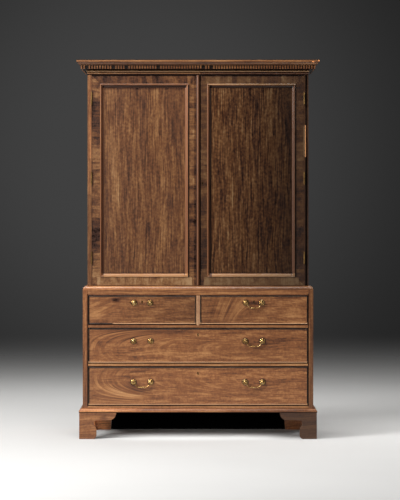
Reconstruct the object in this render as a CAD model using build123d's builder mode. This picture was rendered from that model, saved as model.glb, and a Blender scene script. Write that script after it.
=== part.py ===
from build123d import *

import os

# A two-stage linen press: a cupboard with sliding trays behind two panelled doors, standing on a
# chest of two short and two long drawers. Millimetres. X runs to the right as one faces the doors,
# the front looks along -Y, Z is up, and the origin is at floor level under the middle of the piece.

# Cases
back_y = 288
lower_width = 1208
lower_depth = 544
lower_side = 28
upper_width = 1160
upper_depth = 520
upper_side = 21
board = 21
back_board = 10
rail_depth = 60

# Levels
foot_height = 138
case_bottom = 161
bottom_opening = 178
bottom_drawer_top = 377.5
middle_opening = 399
middle_drawer_top = 579
top_opening = 602
top_drawer_top = 751
lower_top = 780
upper_top = 1908
press_height = 1985

# Doors
door_thickness = 22
door_bottom = 803
door_top = 1906.5
door_edge_gap = 1
meeting_gap = 1.2
board_behind_door = 1
frame_width = 54
frame_shown = 44
meeting_shown = 48
moulding_width = 22
panel_thickness = 8
panel_set_back = 9
groove_depth = 9
tenon_length = 30
astragal_width = 18
astragal_height = 8

# Butt hinges
hinge_levels = (947, 1366, 1784)
hinge_length = 64
knuckle_radius = 4
knuckle_proud = 4.5
pin_radius = 2
leaf_width = 20
leaf_thickness = 2
middle_knuckle = 21.4
bearing_gap = 0.3
pin_play = 0.08
pin_end = 2

# Door bolts and lock
door_bolt_length = 80
door_bolt_width = 6
door_bolt_thick = 4.4
door_bolt_x = -29
bolt_travel = 8
bolt_play = 0.3
mortise_play = 1
bolt_plate = 1.5
bolt_plate_length = 64
thumb_reach = 7
thumb_length = 8
plate_margin = 5
staple_pitch = 48
staple_length = 8
staple_wall = 2.5
staple_cover = 1.2
key_level = 1343
key_from_edge = 14
door_lock_width = 36
door_lock_height = 70

# Drawers
front_thickness = 24
drawer_gap = 2.2
running_gap = 0.5
drawer_depth = 500
drawer_side = 9
drawer_bottom = 7
bottom_rise = 6
bottom_housing = 4
bead_width = 3.5
bead_proud = 3
bead_depth = 12
tail_slope = 2.2
tail_length = 11
divider_width = 21
drawer_runner = 40
dust_board = 8
drawer_guide = 25
point_depth = 20

# Drawer locks and handles
lock_width = 60
lock_height = 46
lock_depth = 8
lock_bolt_width = 20
lock_bolt_thick = 4
lock_bolt_height = 25
keyhole_drop = 29
keyhole_radius = 3
slot_width = 3.2
slot_height = 10
slot_drop = 6
lining_width = 1.2
lining_depth = 1.5
handle_centre = 293
handle_drops = {"top": 38, "middle": 67, "bottom": 80}
post_spacings = {"top": 84, "middle": 90, "bottom": 91}
post_radius = 3.5
shank_radius = 2.5
shank_proud = 2
nut_radius = 6.5
nut_thick = 3
post_play = 0.1
pin_bore_play = 0.1
ball_radius = 5.5
pivot_proud = 14
rosette_radius = 14.5
rosette_height = 3.2
bail_radius = 2.2
bail_pin = 1.6
bail_drop = 27.5
grip_radius = 3.2

# Trays
tray_count = 4
tray_front_y = -186
tray_depth = 450
tray_front = 12
tray_height = 90
tray_lip = 62
tray_side_gap = 2
runner_height = 18
runner_width = 24
runner_lift = 6
runner_set_back = 4

# Cornice
dentil_count = 88
dentil_width = 7
dentil_low = 1939
dentil_high = 1957
dentil_back = 24
dentil_root = 26
dentil_face = 34
lost_dentils = (2, 12, 17, 29, 46, 49)
cornice_bed = 20
cornice_rail_height = 52

# Bracket feet and base frame
foot_inset = 2
bracket_thick = 20
base_proud = 20
base_frame_width = 40
foot_block = 40
foot_block_lift = 4
rear_board_low = 145
rear_board_high = 157

# Worked out from the above
lower_front = back_y - lower_depth
upper_front = back_y - upper_depth
lower_inside = lower_width / 2 - lower_side
upper_inside = upper_width / 2 - upper_side
rail_back = lower_front + rail_depth
inside_back = back_y - back_board
door_back = upper_front + door_thickness
door_edge = upper_inside - door_edge_gap
pin_x = upper_inside - door_edge_gap / 2
pin_y = upper_front - knuckle_proud
leaf_y = (upper_front, upper_front + leaf_width)
panel_front = upper_front + panel_set_back
front_back = lower_front + front_thickness
lock_y = front_back - lock_depth / 2
foot_corner = (-lower_width / 2 - base_proud + foot_inset, lower_front - base_proud + foot_inset)
tray_pitch = (upper_top - 2 * board - lower_top) / tray_count

os.makedirs("parts", exist_ok=True)


def write(name, *pieces):
    """Writes one sub-part; pieces that are glued or screwed together stay separate solids."""
    sub_part = pieces[0].part
    if len(pieces) > 1:
        sub_part = Compound([solid for piece in pieces for solid in piece.part.solids()])
    sub_part.label = name
    export_step(sub_part, f"parts/{name}.step")


def block(x_span, y_span, z_span, mode=Mode.ADD):
    """Adds a squared piece between the given limits to the part being built."""
    corner = (min(x_span), min(y_span), min(z_span))
    size = [max(span) - min(span) for span in (x_span, y_span, z_span)]
    with Locations(corner):
        Box(*size, align=(Align.MIN, Align.MIN, Align.MIN), mode=mode)


def around(middle, size):
    """The span of a given size about a middle."""
    return middle - size / 2, middle + size / 2


def plank(x_span, y_span, z_span):
    """One squared board between the given limits."""
    with BuildPart() as piece:
        block(x_span, y_span, z_span)
    return piece


def twin(piece, about=Plane.YZ):
    """The same piece on the other side of a plane."""
    with BuildPart() as other:
        add(mirror(piece.part, about=about, mode=Mode.PRIVATE))
    return other


# Mouldings that run round the front and both sides


def mitred_lengths(profile, half_width, front_y, reach):
    """Three lengths of one moulding, mitred at the corners of a case.

    The profile's x is the projection from the case."""
    mitre = Plane(origin=(-half_width, front_y, 0), z_dir=(1, -1, 0))
    far_mitre = Plane(origin=(half_width, front_y, 0), z_dir=(-1, -1, 0))
    with BuildPart() as front_length:
        with BuildSketch(Plane(origin=(0, front_y, 0), x_dir=(0, -1, 0), z_dir=(-1, 0, 0))):
            add(profile)
        extrude(amount=half_width + reach, both=True)
        split(bisect_by=mitre, keep=Keep.TOP)
        split(bisect_by=far_mitre, keep=Keep.TOP)
    start = Plane(origin=(-half_width, front_y - reach, 0), x_dir=(-1, 0, 0), z_dir=(0, 1, 0))
    with BuildPart() as left_length:
        with BuildSketch(start):
            add(profile)
        extrude(amount=back_y - front_y + reach)
        split(bisect_by=mitre, keep=Keep.BOTTOM)
    return front_length, left_length, twin(left_length)


def cornice_profile():
    """Two beads and a cove under the dentil bed, then a cyma and a square fillet."""
    with BuildSketch() as outline:
        with BuildLine():
            Polyline((-cornice_bed, upper_top), (0, upper_top), (0, 1914))
            ThreePointArc((0, 1914), (2.5, 1917.5), (0, 1921))
            Line((0, 1921), (0, 1923.5))
            ThreePointArc((0, 1923.5), (5, 1927.5), (1, 1931.5))
            Line((1, 1931.5), (3, 1932))
            ThreePointArc((3, 1932), (11, 1936.2), (22, 1937.5))
            Polyline((22, 1937.5), (dentil_back, dentil_low), (dentil_back, dentil_high))
            Polyline((dentil_back, dentil_high), (36, dentil_high), (36, 1960.5), (38, 1960.5))
            ThreePointArc((38, 1960.5), (44, 1962.2), (47.5, 1967.5))
            ThreePointArc((47.5, 1967.5), (50.5, 1972.5), (54, 1974))
            Polyline((54, 1974), (56, 1974), (56, press_height), (-cornice_bed, press_height))
            Line((-cornice_bed, press_height), (-cornice_bed, upper_top))
        make_face()
    return outline.sketch


def cornice():
    """The lift-off cornice: three mitred lengths and a plain rail behind."""
    lengths = mitred_lengths(cornice_profile(), upper_width / 2, upper_front, 60)
    half = upper_width / 2 - cornice_bed
    rail_z = (upper_top, upper_top + cornice_rail_height)
    rear_rail = plank((-half, half), (back_y - cornice_bed, back_y), rail_z)
    write("cornice_moulding", *lengths, rear_rail)


def dentils():
    """Toothed strips under the cornice; a few teeth of the front strip are lost."""
    front_end = upper_width / 2 + dentil_face
    face_y = upper_front - dentil_face
    root_y = upper_front - dentil_root
    bed_y = upper_front - dentil_back
    pitch = (2 * front_end - dentil_width) / dentil_count
    level = (dentil_low + dentil_high) / 2
    height = dentil_high - dentil_low
    tooth = dentil_face - dentil_root
    root_x = upper_width / 2 + dentil_root
    places = [-front_end + dentil_width / 2 + pitch * i for i in range(dentil_count + 1)]
    kept = [(x, (face_y + root_y) / 2, level) for i, x in enumerate(places) if i not in lost_dentils]
    with BuildPart() as front_strip:
        block((-root_x, root_x), (root_y, bed_y), (dentil_low, dentil_high))
        with Locations(*kept):
            Box(dentil_width, tooth, height)
    first_y = face_y + dentil_width / 2 + pitch
    side_count = int((back_y - first_y) / pitch)
    with BuildPart() as left_strip:
        bed_x = -upper_width / 2 - dentil_back
        block((-root_x, bed_x), (bed_y, back_y), (dentil_low, dentil_high))
        with Locations(*[(-root_x - tooth / 2, first_y + pitch * i, level) for i in range(side_count)]):
            Box(tooth, dentil_width, height)
    write("cornice_dentils", front_strip, left_strip, twin(left_strip))


def waist_profile():
    """Ovolo on a small fillet, planted on the chest round the foot of the cupboard."""
    reach = (lower_width - upper_width) / 2
    with BuildSketch() as outline:
        with BuildLine():
            Polyline((0, 801), (0, lower_top), (reach, lower_top), (reach, 784))
            ThreePointArc((reach, 784), (18.5, 795), (5, 800))
            Polyline((5, 800), (5, 801), (0, 801))
        make_face()
    return outline.sketch


def base_profile():
    """Ovolo between two fillets on the frame that carries the chest."""
    with BuildSketch() as outline:
        with BuildLine():
            Polyline((-base_frame_width, case_bottom), (-base_frame_width, foot_height))
            Polyline((-base_frame_width, foot_height), (base_proud, foot_height), (base_proud, 146))
            Line((base_proud, 146), (base_proud - 2, 146))
            ThreePointArc((base_proud - 2, 146), (15.2, 153), (7, 157))
            Polyline((7, 157), (3, 157), (3, case_bottom), (-base_frame_width, case_bottom))
        make_face()
    return outline.sketch


def mouldings():
    write("waist_moulding", *mitred_lengths(waist_profile(), upper_width / 2, upper_front, 30))
    lengths = mitred_lengths(base_profile(), lower_width / 2, lower_front, 30)
    half = lower_width / 2 - base_frame_width
    rail_y = (back_y - base_frame_width, back_y)
    rear_rail = plank((-half, half), rail_y, (foot_height, case_bottom))
    write("base_moulding", *lengths, rear_rail)


# Bracket feet


def bracket_outline():
    """Shaped bracket: x from the outer corner of the foot, y from the floor."""
    with BuildSketch() as outline:
        with BuildLine():
            Line((0, 0), (71, 0))
            ThreePointArc((71, 0), (84, 6), (90, 18))
            Line((90, 18), (90, 46))
            ThreePointArc((90, 46), (87, 61), (77, 72))
            Line((77, 72), (77, 84))
            ThreePointArc((77, 84), (80.5, 93), (89, 97))
            Line((89, 97), (165, 100))
            ThreePointArc((165, 100), (183, 110), (193, 131))
            Polyline((193, 131), (193, foot_height), (0, foot_height), (0, 0))
        make_face()
    return outline.sketch


def front_foot():
    """Two shaped brackets mitred at the corner, with a block glued behind."""
    corner_x, corner_y = foot_corner
    outline = bracket_outline()
    mitre = Plane(origin=(corner_x, corner_y, 0), z_dir=(1, -1, 0))
    with BuildPart() as front_bracket:
        with BuildSketch(Plane(origin=(corner_x, corner_y, 0), x_dir=(1, 0, 0), z_dir=(0, -1, 0))):
            add(outline)
        extrude(amount=-bracket_thick)
        split(bisect_by=mitre, keep=Keep.TOP)
    with BuildPart() as side_bracket:
        with BuildSketch(Plane(origin=(corner_x, corner_y, 0), x_dir=(0, 1, 0), z_dir=(1, 0, 0))):
            add(outline)
        extrude(amount=bracket_thick)
        split(bisect_by=mitre, keep=Keep.BOTTOM)
    inner_x, inner_y = corner_x + bracket_thick, corner_y + bracket_thick
    block_z = (foot_block_lift, foot_height)
    corner_block = plank((inner_x, inner_x + foot_block), (inner_y, inner_y + foot_block), block_z)
    return front_bracket, side_bracket, corner_block


def rear_foot():
    """A shaped side bracket and a plain board across the back."""
    corner_x = foot_corner[0]
    inner_x = corner_x + bracket_thick
    outline = bracket_outline()
    with BuildPart() as side_bracket:
        with BuildSketch(Plane(origin=(corner_x, back_y, 0), x_dir=(0, -1, 0), z_dir=(-1, 0, 0))):
            add(outline)
        extrude(amount=-bracket_thick)
    with BuildPart() as rear_bracket:
        with BuildSketch(Plane(origin=(corner_x, back_y, 0), x_dir=(1, 0, 0), z_dir=(0, -1, 0))):
            Polygon(
                (bracket_thick, 0),
                (rear_board_low, 0),
                (rear_board_high, foot_height),
                (bracket_thick, foot_height),
            )
        extrude(amount=bracket_thick)
    front_y = back_y - bracket_thick
    block_z = (foot_block_lift, foot_height)
    corner_block = plank((inner_x, inner_x + foot_block), (front_y - foot_block, front_y), block_z)
    return side_bracket, rear_bracket, corner_block


def feet():
    for name, pieces in (("front", front_foot()), ("rear", rear_foot())):
        write(f"foot_{name}_left", *pieces)
        write(f"foot_{name}_right", *[twin(piece) for piece in pieces])


# Lower case


def lower_case():
    """Sides, top, bottom and back of the chest."""
    outer = lower_width / 2
    side = plank((-outer, -lower_inside), (lower_front, back_y), (case_bottom, lower_top))
    write("lower_side_left", side)
    write("lower_side_right", twin(side))
    across = (-lower_inside, lower_inside)
    inside = (rail_back, inside_back)
    write("lower_top_board", plank(across, inside, (lower_top - board, lower_top)))
    write("lower_bottom_board", plank(across, inside, (case_bottom, bottom_opening)))
    height = (lower_top - case_bottom) / 3
    lows = [case_bottom + height * i for i in range(3)]
    write("lower_back_boards", *[plank(across, (inside_back, back_y), (z, z + height - 1)) for z in lows])


def divider_point():
    """The pointed foot of the divider, which drops into a notch in the rail below it."""
    half = divider_width / 2
    with BuildPart() as point:
        with BuildSketch(Plane.XZ.offset(-lower_front)):
            Polygon((-half, top_opening), (0, top_opening - half), (half, top_opening))
        extrude(amount=-point_depth)
    return point


def drawer_rails():
    """Four rails across the front, mortised above each drawer for its lock bolt."""
    top_lock = (lower_inside + divider_width / 2) / 2
    levels = [
        (top_drawer_top, lower_top, (-top_lock, top_lock)),
        (middle_drawer_top, top_opening, (0,)),
        (bottom_drawer_top, middle_opening, (0,)),
        (case_bottom, bottom_opening, ()),
    ]
    notch = divider_point()
    boards = []
    for low, high, lock_places in levels:
        with BuildPart() as rail:
            block((-lower_inside, lower_inside), (lower_front, rail_back), (low, high))
            for x in lock_places:
                wide = around(x, lock_bolt_width + 2 * mortise_play)
                deep = around(lock_y, lock_bolt_thick + 2 * mortise_play)
                block(wide, deep, (low, low + bolt_travel + mortise_play), Mode.SUBTRACT)
            if high == top_opening:
                add(notch.part, mode=Mode.SUBTRACT)
        boards.append(rail)
    write("drawer_rails", *boards)


def drawer_divider():
    half = divider_width / 2
    point = divider_point()
    with BuildPart() as upright:
        block((-half, half), (lower_front, rail_back), (top_opening, top_drawer_top))
        add(point.part)
    write("drawer_divider", upright)


def dust_boards():
    """Runners that the drawers slide on, thin dust boards between them and a centre guide."""
    along = (rail_back, inside_back)
    pieces = []
    inner = lower_inside - drawer_runner
    for low, high in ((middle_drawer_top, top_opening), (bottom_drawer_top, middle_opening)):
        runner = plank((-lower_inside, -inner), along, (low, high))
        pieces += [runner, twin(runner)]
        dust_z = around((low + high) / 2, dust_board)
        if high == top_opening:
            pieces.append(plank((-drawer_runner, drawer_runner), along, (low, high)))
            dust = plank((-inner, -drawer_runner), along, dust_z)
            pieces += [dust, twin(dust)]
        else:
            pieces.append(plank((-inner, inner), along, dust_z))
    half = divider_width / 2
    pieces.append(plank((-half, half), along, (top_opening, top_opening + drawer_guide)))
    write("dust_boards", *pieces)


# Upper case


def upper_case():
    """Sides with hinge housings, top, bottom and back of the cupboard."""
    outer = upper_width / 2
    with BuildPart() as side:
        block((-outer, -upper_inside), (upper_front, back_y), (lower_top, upper_top))
        for level in hinge_levels:
            depth = (-upper_inside - leaf_thickness, -upper_inside)
            block(depth, leaf_y, around(level, hinge_length), Mode.SUBTRACT)
    write("upper_side_left", side)
    write("upper_side_right", twin(side))
    across = (-upper_inside, upper_inside)
    keep_x = around(door_bolt_x, door_bolt_width + 2 * mortise_play)
    keep_y = (door_back + board_behind_door, door_back + bolt_plate + door_bolt_thick + mortise_play)
    keep_depth = bolt_travel + mortise_play
    with BuildPart() as top_board:
        block(across, (door_back + board_behind_door, inside_back), (upper_top - board, upper_top))
        block(keep_x, keep_y, (upper_top - board, upper_top - board + keep_depth), Mode.SUBTRACT)
    write("upper_top_board", top_board)
    floor = lower_top + board
    with BuildPart() as bottom_board:
        block(across, (upper_front, inside_back), (lower_top, floor))
        block(keep_x, keep_y, (floor - keep_depth, floor), Mode.SUBTRACT)
    write("upper_bottom_board", bottom_board)
    width = 2 * upper_inside / 4
    edges = [-upper_inside + width * i for i in range(4)]
    behind = (inside_back, back_y)
    write("upper_back_boards", *[plank((x, x + width - 1), behind, (lower_top, upper_top)) for x in edges])


def tray_bottom(number):
    """Level of the underside of a tray, counted from the lowest."""
    return lower_top + board + tray_pitch * number + runner_height + runner_lift


def tray_runners():
    runners = []
    for number in range(tray_count):
        top = tray_bottom(number) - running_gap
        along = (tray_front_y + runner_set_back, tray_front_y + tray_depth + 2 * runner_set_back)
        runner = plank((-upper_inside, -upper_inside + runner_width), along, (top - runner_height, top))
        runners += [runner, twin(runner)]
    write("tray_runners", *runners)


# Hinges


def case_hinge_half(level):
    """Leaf let into the case side, two knuckles and the pin."""
    low, high = around(level, hinge_length)
    knuckle = (hinge_length - middle_knuckle) / 2 - bearing_gap
    leaf_x = (-upper_inside - leaf_thickness, -upper_inside)
    with BuildPart() as half:
        block(leaf_x, leaf_y, (low, high))
        for start in (low, high - knuckle):
            block(leaf_x, (pin_y, upper_front), (start, start + knuckle))
            with BuildSketch(Plane.XY.offset(start)):
                with Locations((-pin_x, pin_y)):
                    Circle(knuckle_radius)
            extrude(amount=knuckle)
        with BuildSketch(Plane.XY.offset(low - pin_end)):
            with Locations((-pin_x, pin_y)):
                Circle(pin_radius)
        extrude(amount=hinge_length + 2 * pin_end)
    return half


def door_hinge_half(level):
    """Leaf let into the door's edge and the middle knuckle."""
    low, high = around(level, middle_knuckle)
    leaf_x = (-door_edge, -door_edge + leaf_thickness)
    with BuildPart() as half:
        block(leaf_x, leaf_y, around(level, hinge_length))
        block(leaf_x, (pin_y, upper_front), (low, high))
        with BuildSketch(Plane.XY.offset(low)):
            with Locations((-pin_x, pin_y)):
                Circle(knuckle_radius)
        extrude(amount=middle_knuckle)
        with BuildSketch(Plane.XY.offset(low)):
            with Locations((-pin_x, pin_y)):
                Circle(pin_radius + pin_play)
        extrude(amount=middle_knuckle, mode=Mode.SUBTRACT)
    return half


def case_hinges():
    halves = [case_hinge_half(level) for level in hinge_levels]
    write("hinge_case_leaves", *halves, *[twin(half) for half in halves])


# Doors, drawn for the left-hand side: x_outer is the hinged edge, x_inner the meeting edge


def stile(x_span, groove_side):
    """Upright of a door frame, grooved for the panel and mortised for the rails."""
    groove_y = (panel_front, panel_front + panel_thickness)
    if groove_side > 0:
        groove_x = (x_span[1] - groove_depth, x_span[1])
        mortise_x = (x_span[1] - tenon_length, x_span[1])
    else:
        groove_x = (x_span[0], x_span[0] + groove_depth)
        mortise_x = (x_span[0], x_span[0] + tenon_length)
    with BuildPart() as upright:
        block(x_span, (upper_front, door_back), (door_bottom, door_top))
        block(groove_x, groove_y, (door_bottom, door_top), Mode.SUBTRACT)
        for z_span in tenon_levels():
            block(mortise_x, groove_y, z_span, Mode.SUBTRACT)
    return upright


def tenon_levels():
    """Height of the tenons of the bottom and the top rail."""
    shoulder = 12
    low = (door_bottom + shoulder, door_bottom + frame_width - groove_depth)
    high = (door_top - frame_width + groove_depth, door_top - shoulder)
    return low, high


def rails(x_span):
    """Bottom and top rail of a door frame with their tenons."""
    groove_y = (panel_front, panel_front + panel_thickness)
    low_tenon, high_tenon = tenon_levels()
    with BuildPart() as bottom_rail:
        top = door_bottom + frame_width
        block(x_span, (upper_front, door_back), (door_bottom, top))
        block(x_span, groove_y, (top - groove_depth, top), Mode.SUBTRACT)
        block((x_span[0] - tenon_length, x_span[1] + tenon_length), groove_y, low_tenon)
    with BuildPart() as top_rail:
        low = door_top - frame_width
        block(x_span, (upper_front, door_back), (low, door_top))
        block(x_span, groove_y, (low, low + groove_depth), Mode.SUBTRACT)
        block((x_span[0] - tenon_length, x_span[1] + tenon_length), groove_y, high_tenon)
    return bottom_rail, top_rail


def hinge_housings(upright):
    """Lets the hinge leaves into the edge of the hanging stile."""
    with BuildPart() as housed:
        add(upright.part)
        for level in hinge_levels:
            depth = (-door_edge, -door_edge + leaf_thickness)
            block(depth, leaf_y, around(level, hinge_length), Mode.SUBTRACT)
    return housed


def door_panel(x_span):
    """Flat panel whose edges sit loose in the grooves of the frame."""
    tuck = groove_depth - 1
    x_edges = (x_span[0] - tuck, x_span[1] + tuck)
    z_edges = (door_bottom + frame_width - tuck, door_top - frame_width + tuck)
    return plank(x_edges, (panel_front, panel_front + panel_thickness), z_edges)


def moulding_outline():
    """Section of the door moulding: x inwards from its outer edge, y proud of the frame."""
    on_frame = frame_width - frame_shown
    with BuildSketch() as outline:
        with BuildLine():
            Line((0, 0), (0, 1))
            ThreePointArc((0, 1), (3.5, 4.5), (7, 1.5))
            Line((7, 1.5), (on_frame + 0.5, 1))
            ThreePointArc((on_frame + 0.5, 1), (13, -4.6), (19.5, -7))
            Polyline((19.5, -7), (moulding_width, -7), (moulding_width, -panel_set_back))
            Polyline((moulding_width, -panel_set_back), (on_frame, -panel_set_back), (on_frame, 0), (0, 0))
        make_face()
    return outline.sketch


def door_moulding(x_span):
    """Four lengths of moulding, mitred round the panel over the inner edge of the frame."""
    on_frame = frame_width - frame_shown
    x_low, x_high = x_span[0] - on_frame, x_span[1] + on_frame
    z_low, z_high = door_bottom + frame_shown, door_top - frame_shown
    low_corner = (x_low, upper_front, z_low)
    outline = moulding_outline()
    with BuildPart() as upright:
        with BuildSketch(Plane(origin=low_corner, x_dir=(1, 0, 0), z_dir=(0, 0, -1))):
            add(outline)
        extrude(amount=-(z_high - z_low))
        split(bisect_by=Plane(origin=low_corner, z_dir=(-1, 0, 1)), keep=Keep.TOP)
        high_corner = (x_low, upper_front, z_high)
        split(bisect_by=Plane(origin=high_corner, z_dir=(-1, 0, -1)), keep=Keep.TOP)
    with BuildPart() as level_length:
        with BuildSketch(Plane(origin=low_corner, x_dir=(0, 0, 1), z_dir=(1, 0, 0))):
            add(outline)
        extrude(amount=x_high - x_low)
        split(bisect_by=Plane(origin=low_corner, z_dir=(1, 0, -1)), keep=Keep.TOP)
        far_corner = (x_high, upper_front, z_low)
        split(bisect_by=Plane(origin=far_corner, z_dir=(-1, 0, -1)), keep=Keep.TOP)
    middle = Plane(origin=((x_low + x_high) / 2, 0, 0), z_dir=(1, 0, 0))
    half_way = Plane(origin=(0, 0, (z_low + z_high) / 2), z_dir=(0, 0, 1))
    return upright, twin(upright, middle), level_length, twin(level_length, half_way)


def door_frame(x_inner):
    """Two stiles and two rails; the moulding covers the inner edge of each."""
    x_panel = (-door_edge + frame_width, -meeting_shown - frame_width + frame_shown)
    hanging = hinge_housings(stile((-door_edge, x_panel[0]), 1))
    meeting = stile((x_panel[1], x_inner), -1)
    return hanging, meeting, x_panel


# Keyholes and locks


def keyhole(x, z, grow=0, mode=Mode.ADD):
    """Round eye with a slot below it."""
    with Locations((x, z)):
        Circle(keyhole_radius + grow, mode=mode)
    with Locations((x, z - slot_drop)):
        Rectangle(slot_width + 2 * grow, slot_height + 2 * grow, mode=mode)


def keyhole_void(x, face_y, z, depth):
    """The space of a keyhole with the shallow housing of its brass lining."""
    with BuildPart() as void:
        with BuildSketch(Plane.XZ.offset(-face_y)):
            keyhole(x, z)
        extrude(amount=-depth)
        with BuildSketch(Plane.XZ.offset(-face_y)):
            keyhole(x, z, lining_width)
        extrude(amount=-lining_depth)
    return void


def keyhole_lining(x, face_y, z):
    """Thin brass lining of a keyhole, inlaid flush with the face."""
    with BuildPart() as lining:
        with BuildSketch(Plane.XZ.offset(-face_y)):
            keyhole(x, z, lining_width)
            keyhole(x, z, mode=Mode.SUBTRACT)
        extrude(amount=-lining_depth)
    return lining


def door_lock(x_inner):
    """Cut lock let into the back of the meeting stile: its case and its sliding bolt."""
    y_span = (door_back - lock_depth, door_back)
    z_span = around(key_level, door_lock_height)
    bolt_y = around(door_back - lock_depth / 2, lock_bolt_thick)
    bolt_z = around(key_level, lock_bolt_width)
    bolt_x = (x_inner - lock_bolt_height, x_inner - running_gap)
    with BuildPart() as case:
        block((x_inner - door_lock_width, x_inner), y_span, z_span)
        block((bolt_x[0] - bolt_play, x_inner), widened(bolt_y), widened(bolt_z), Mode.SUBTRACT)
    return case, plank(bolt_x, bolt_y, bolt_z)


def widened(span):
    """A span with the play that a bolt needs on both sides."""
    return span[0] - bolt_play, span[1] + bolt_play


# The two doors


def left_door():
    """Passive door: carries the astragal on its meeting edge and two bolts on its back."""
    x_inner = astragal_width / 2
    hanging, meeting, x_panel = door_frame(x_inner)
    with BuildPart() as mortised:
        add(meeting.part)
        depth = (x_inner - bolt_travel - mortise_play, x_inner)
        y_span = around(door_back - lock_depth / 2, lock_bolt_thick + 2 * mortise_play)
        block(depth, y_span, around(key_level, lock_bolt_width + 2 * mortise_play), Mode.SUBTRACT)
    write("left_door_frame", hanging, mortised, *rails(x_panel))
    write("left_door_panel", door_panel(x_panel))
    write("left_door_moulding", *door_moulding(x_panel))
    with BuildPart() as astragal:
        with BuildSketch(Plane.XY.offset(door_bottom)):
            with BuildLine():
                half = astragal_width / 2
                start, end = (-half, upper_front), (half, upper_front)
                ThreePointArc(start, (0, upper_front - astragal_height), end)
                Line(end, start)
            make_face()
        extrude(amount=door_top - door_bottom)
    write("left_door_astragal", astragal)
    ceiling, floor = upper_top - board, lower_top + board
    top_rod, top_plate = door_bolt(ceiling - running_gap - door_bolt_length, ceiling - running_gap)
    low_rod, low_plate = door_bolt(floor + running_gap, floor + running_gap + door_bolt_length)
    write("left_door_top_bolt", top_rod)
    write("left_door_bottom_bolt", low_rod)
    write("left_door_hardware", *[door_hinge_half(level) for level in hinge_levels], top_plate, low_plate)


def door_bolt(low, high):
    """A sliding rod with a thumb piece, and the plate and staples that hold it."""
    x_span = around(door_bolt_x, door_bolt_width)
    plate_top = door_back + bolt_plate
    y_span = (plate_top + bolt_play, plate_top + bolt_play + door_bolt_thick)
    middle = (low + high) / 2
    with BuildPart() as rod:
        block(x_span, y_span, (low, high))
        block((x_span[0] - thumb_reach, x_span[0]), y_span, around(middle, thumb_length))
    with BuildPart() as plate:
        plate_x = (x_span[0] - thumb_reach, x_span[1] + plate_margin)
        block(plate_x, (door_back, plate_top), around(middle, bolt_plate_length))
        for level in around(middle, staple_pitch):
            wrap = (x_span[0] - staple_wall, x_span[1] + staple_wall)
            block(wrap, (plate_top, y_span[1] + staple_cover), around(level, staple_length))
            way = (plate_top, y_span[1] + bolt_play)
            block(widened(x_span), way, around(level, staple_length), Mode.SUBTRACT)
    return rod, plate


def right_door():
    """Active door with the lock, drawn left-handed and turned over."""
    x_inner = -astragal_width / 2 - meeting_gap
    hanging, meeting, x_panel = door_frame(x_inner)
    case, bolt = door_lock(x_inner)
    key_x = x_inner - key_from_edge
    void = keyhole_void(key_x, upper_front, key_level, door_thickness - lock_depth)
    with BuildPart() as housed:
        add(meeting.part)
        housing_x = (x_inner - door_lock_width, x_inner)
        housing_z = around(key_level, door_lock_height)
        block(housing_x, (door_back - lock_depth, door_back), housing_z, Mode.SUBTRACT)
        add(void.part, mode=Mode.SUBTRACT)
    lining = keyhole_lining(key_x, upper_front, key_level)
    write("right_door_frame", *[twin(piece) for piece in (hanging, housed, *rails(x_panel))])
    write("right_door_panel", twin(door_panel(x_panel)))
    write("right_door_moulding", *[twin(piece) for piece in door_moulding(x_panel)])
    leaves = [door_hinge_half(level) for level in hinge_levels]
    write("right_door_hardware", *[twin(piece) for piece in (*leaves, case, lining)])
    write("right_door_lock_bolt", twin(bolt))


# Drawers and trays


def tails(root_y, reach, z_low, z_high, count):
    """Dovetails drawn in side view: each widens from the shoulder to its end."""
    pitch = (z_high - z_low) / count
    for number in range(count):
        middle = z_low + pitch * (number + 0.5)
        narrow = pitch * 0.34
        wide = narrow + abs(reach) / tail_slope / 2
        end_y = root_y + reach
        Polygon(
            (root_y, middle - narrow),
            (end_y, middle - wide),
            (end_y, middle + wide),
            (root_y, middle + narrow),
        )


def tail_sockets(x_span, root_y, reach, z_low, z_high, count):
    """The sockets that the tails of both sides fit into."""
    with BuildPart() as sockets:
        for start in (x_span[0], x_span[1] - drawer_side):
            with BuildSketch(Plane.YZ.offset(start)):
                tails(root_y, reach, z_low, z_high, count)
            extrude(amount=drawer_side)
    return sockets


def box_side(x_span, y_span, z_span, groove_x, bottom, front_tails, lip):
    """One side of a drawer or tray, dovetailed at both ends and grooved for the bottom."""
    y_front, y_rear = y_span
    z_low, z_top = z_span
    with BuildPart() as side:
        with BuildSketch(Plane.YZ.offset(x_span[0])):
            with BuildLine():
                Polyline((y_front, lip), (y_front, z_low), (y_rear, z_low), (y_rear, z_top))
                if lip < z_top:
                    start, end = (y_front + 70, z_top), (y_front, lip)
                    Line((y_rear, z_top), start)
                    Bezier(start, (y_front + 35, z_top), (y_front + 35, lip), end)
                else:
                    Line((y_rear, z_top), (y_front, lip))
            make_face()
            tails(*front_tails)
            tails(y_rear, drawer_side, bottom[1], z_top, 3)
        extrude(amount=x_span[1] - x_span[0])
        block(groove_x, (y_front - bottom_housing, y_rear + drawer_side), bottom, Mode.SUBTRACT)
    return side


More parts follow.
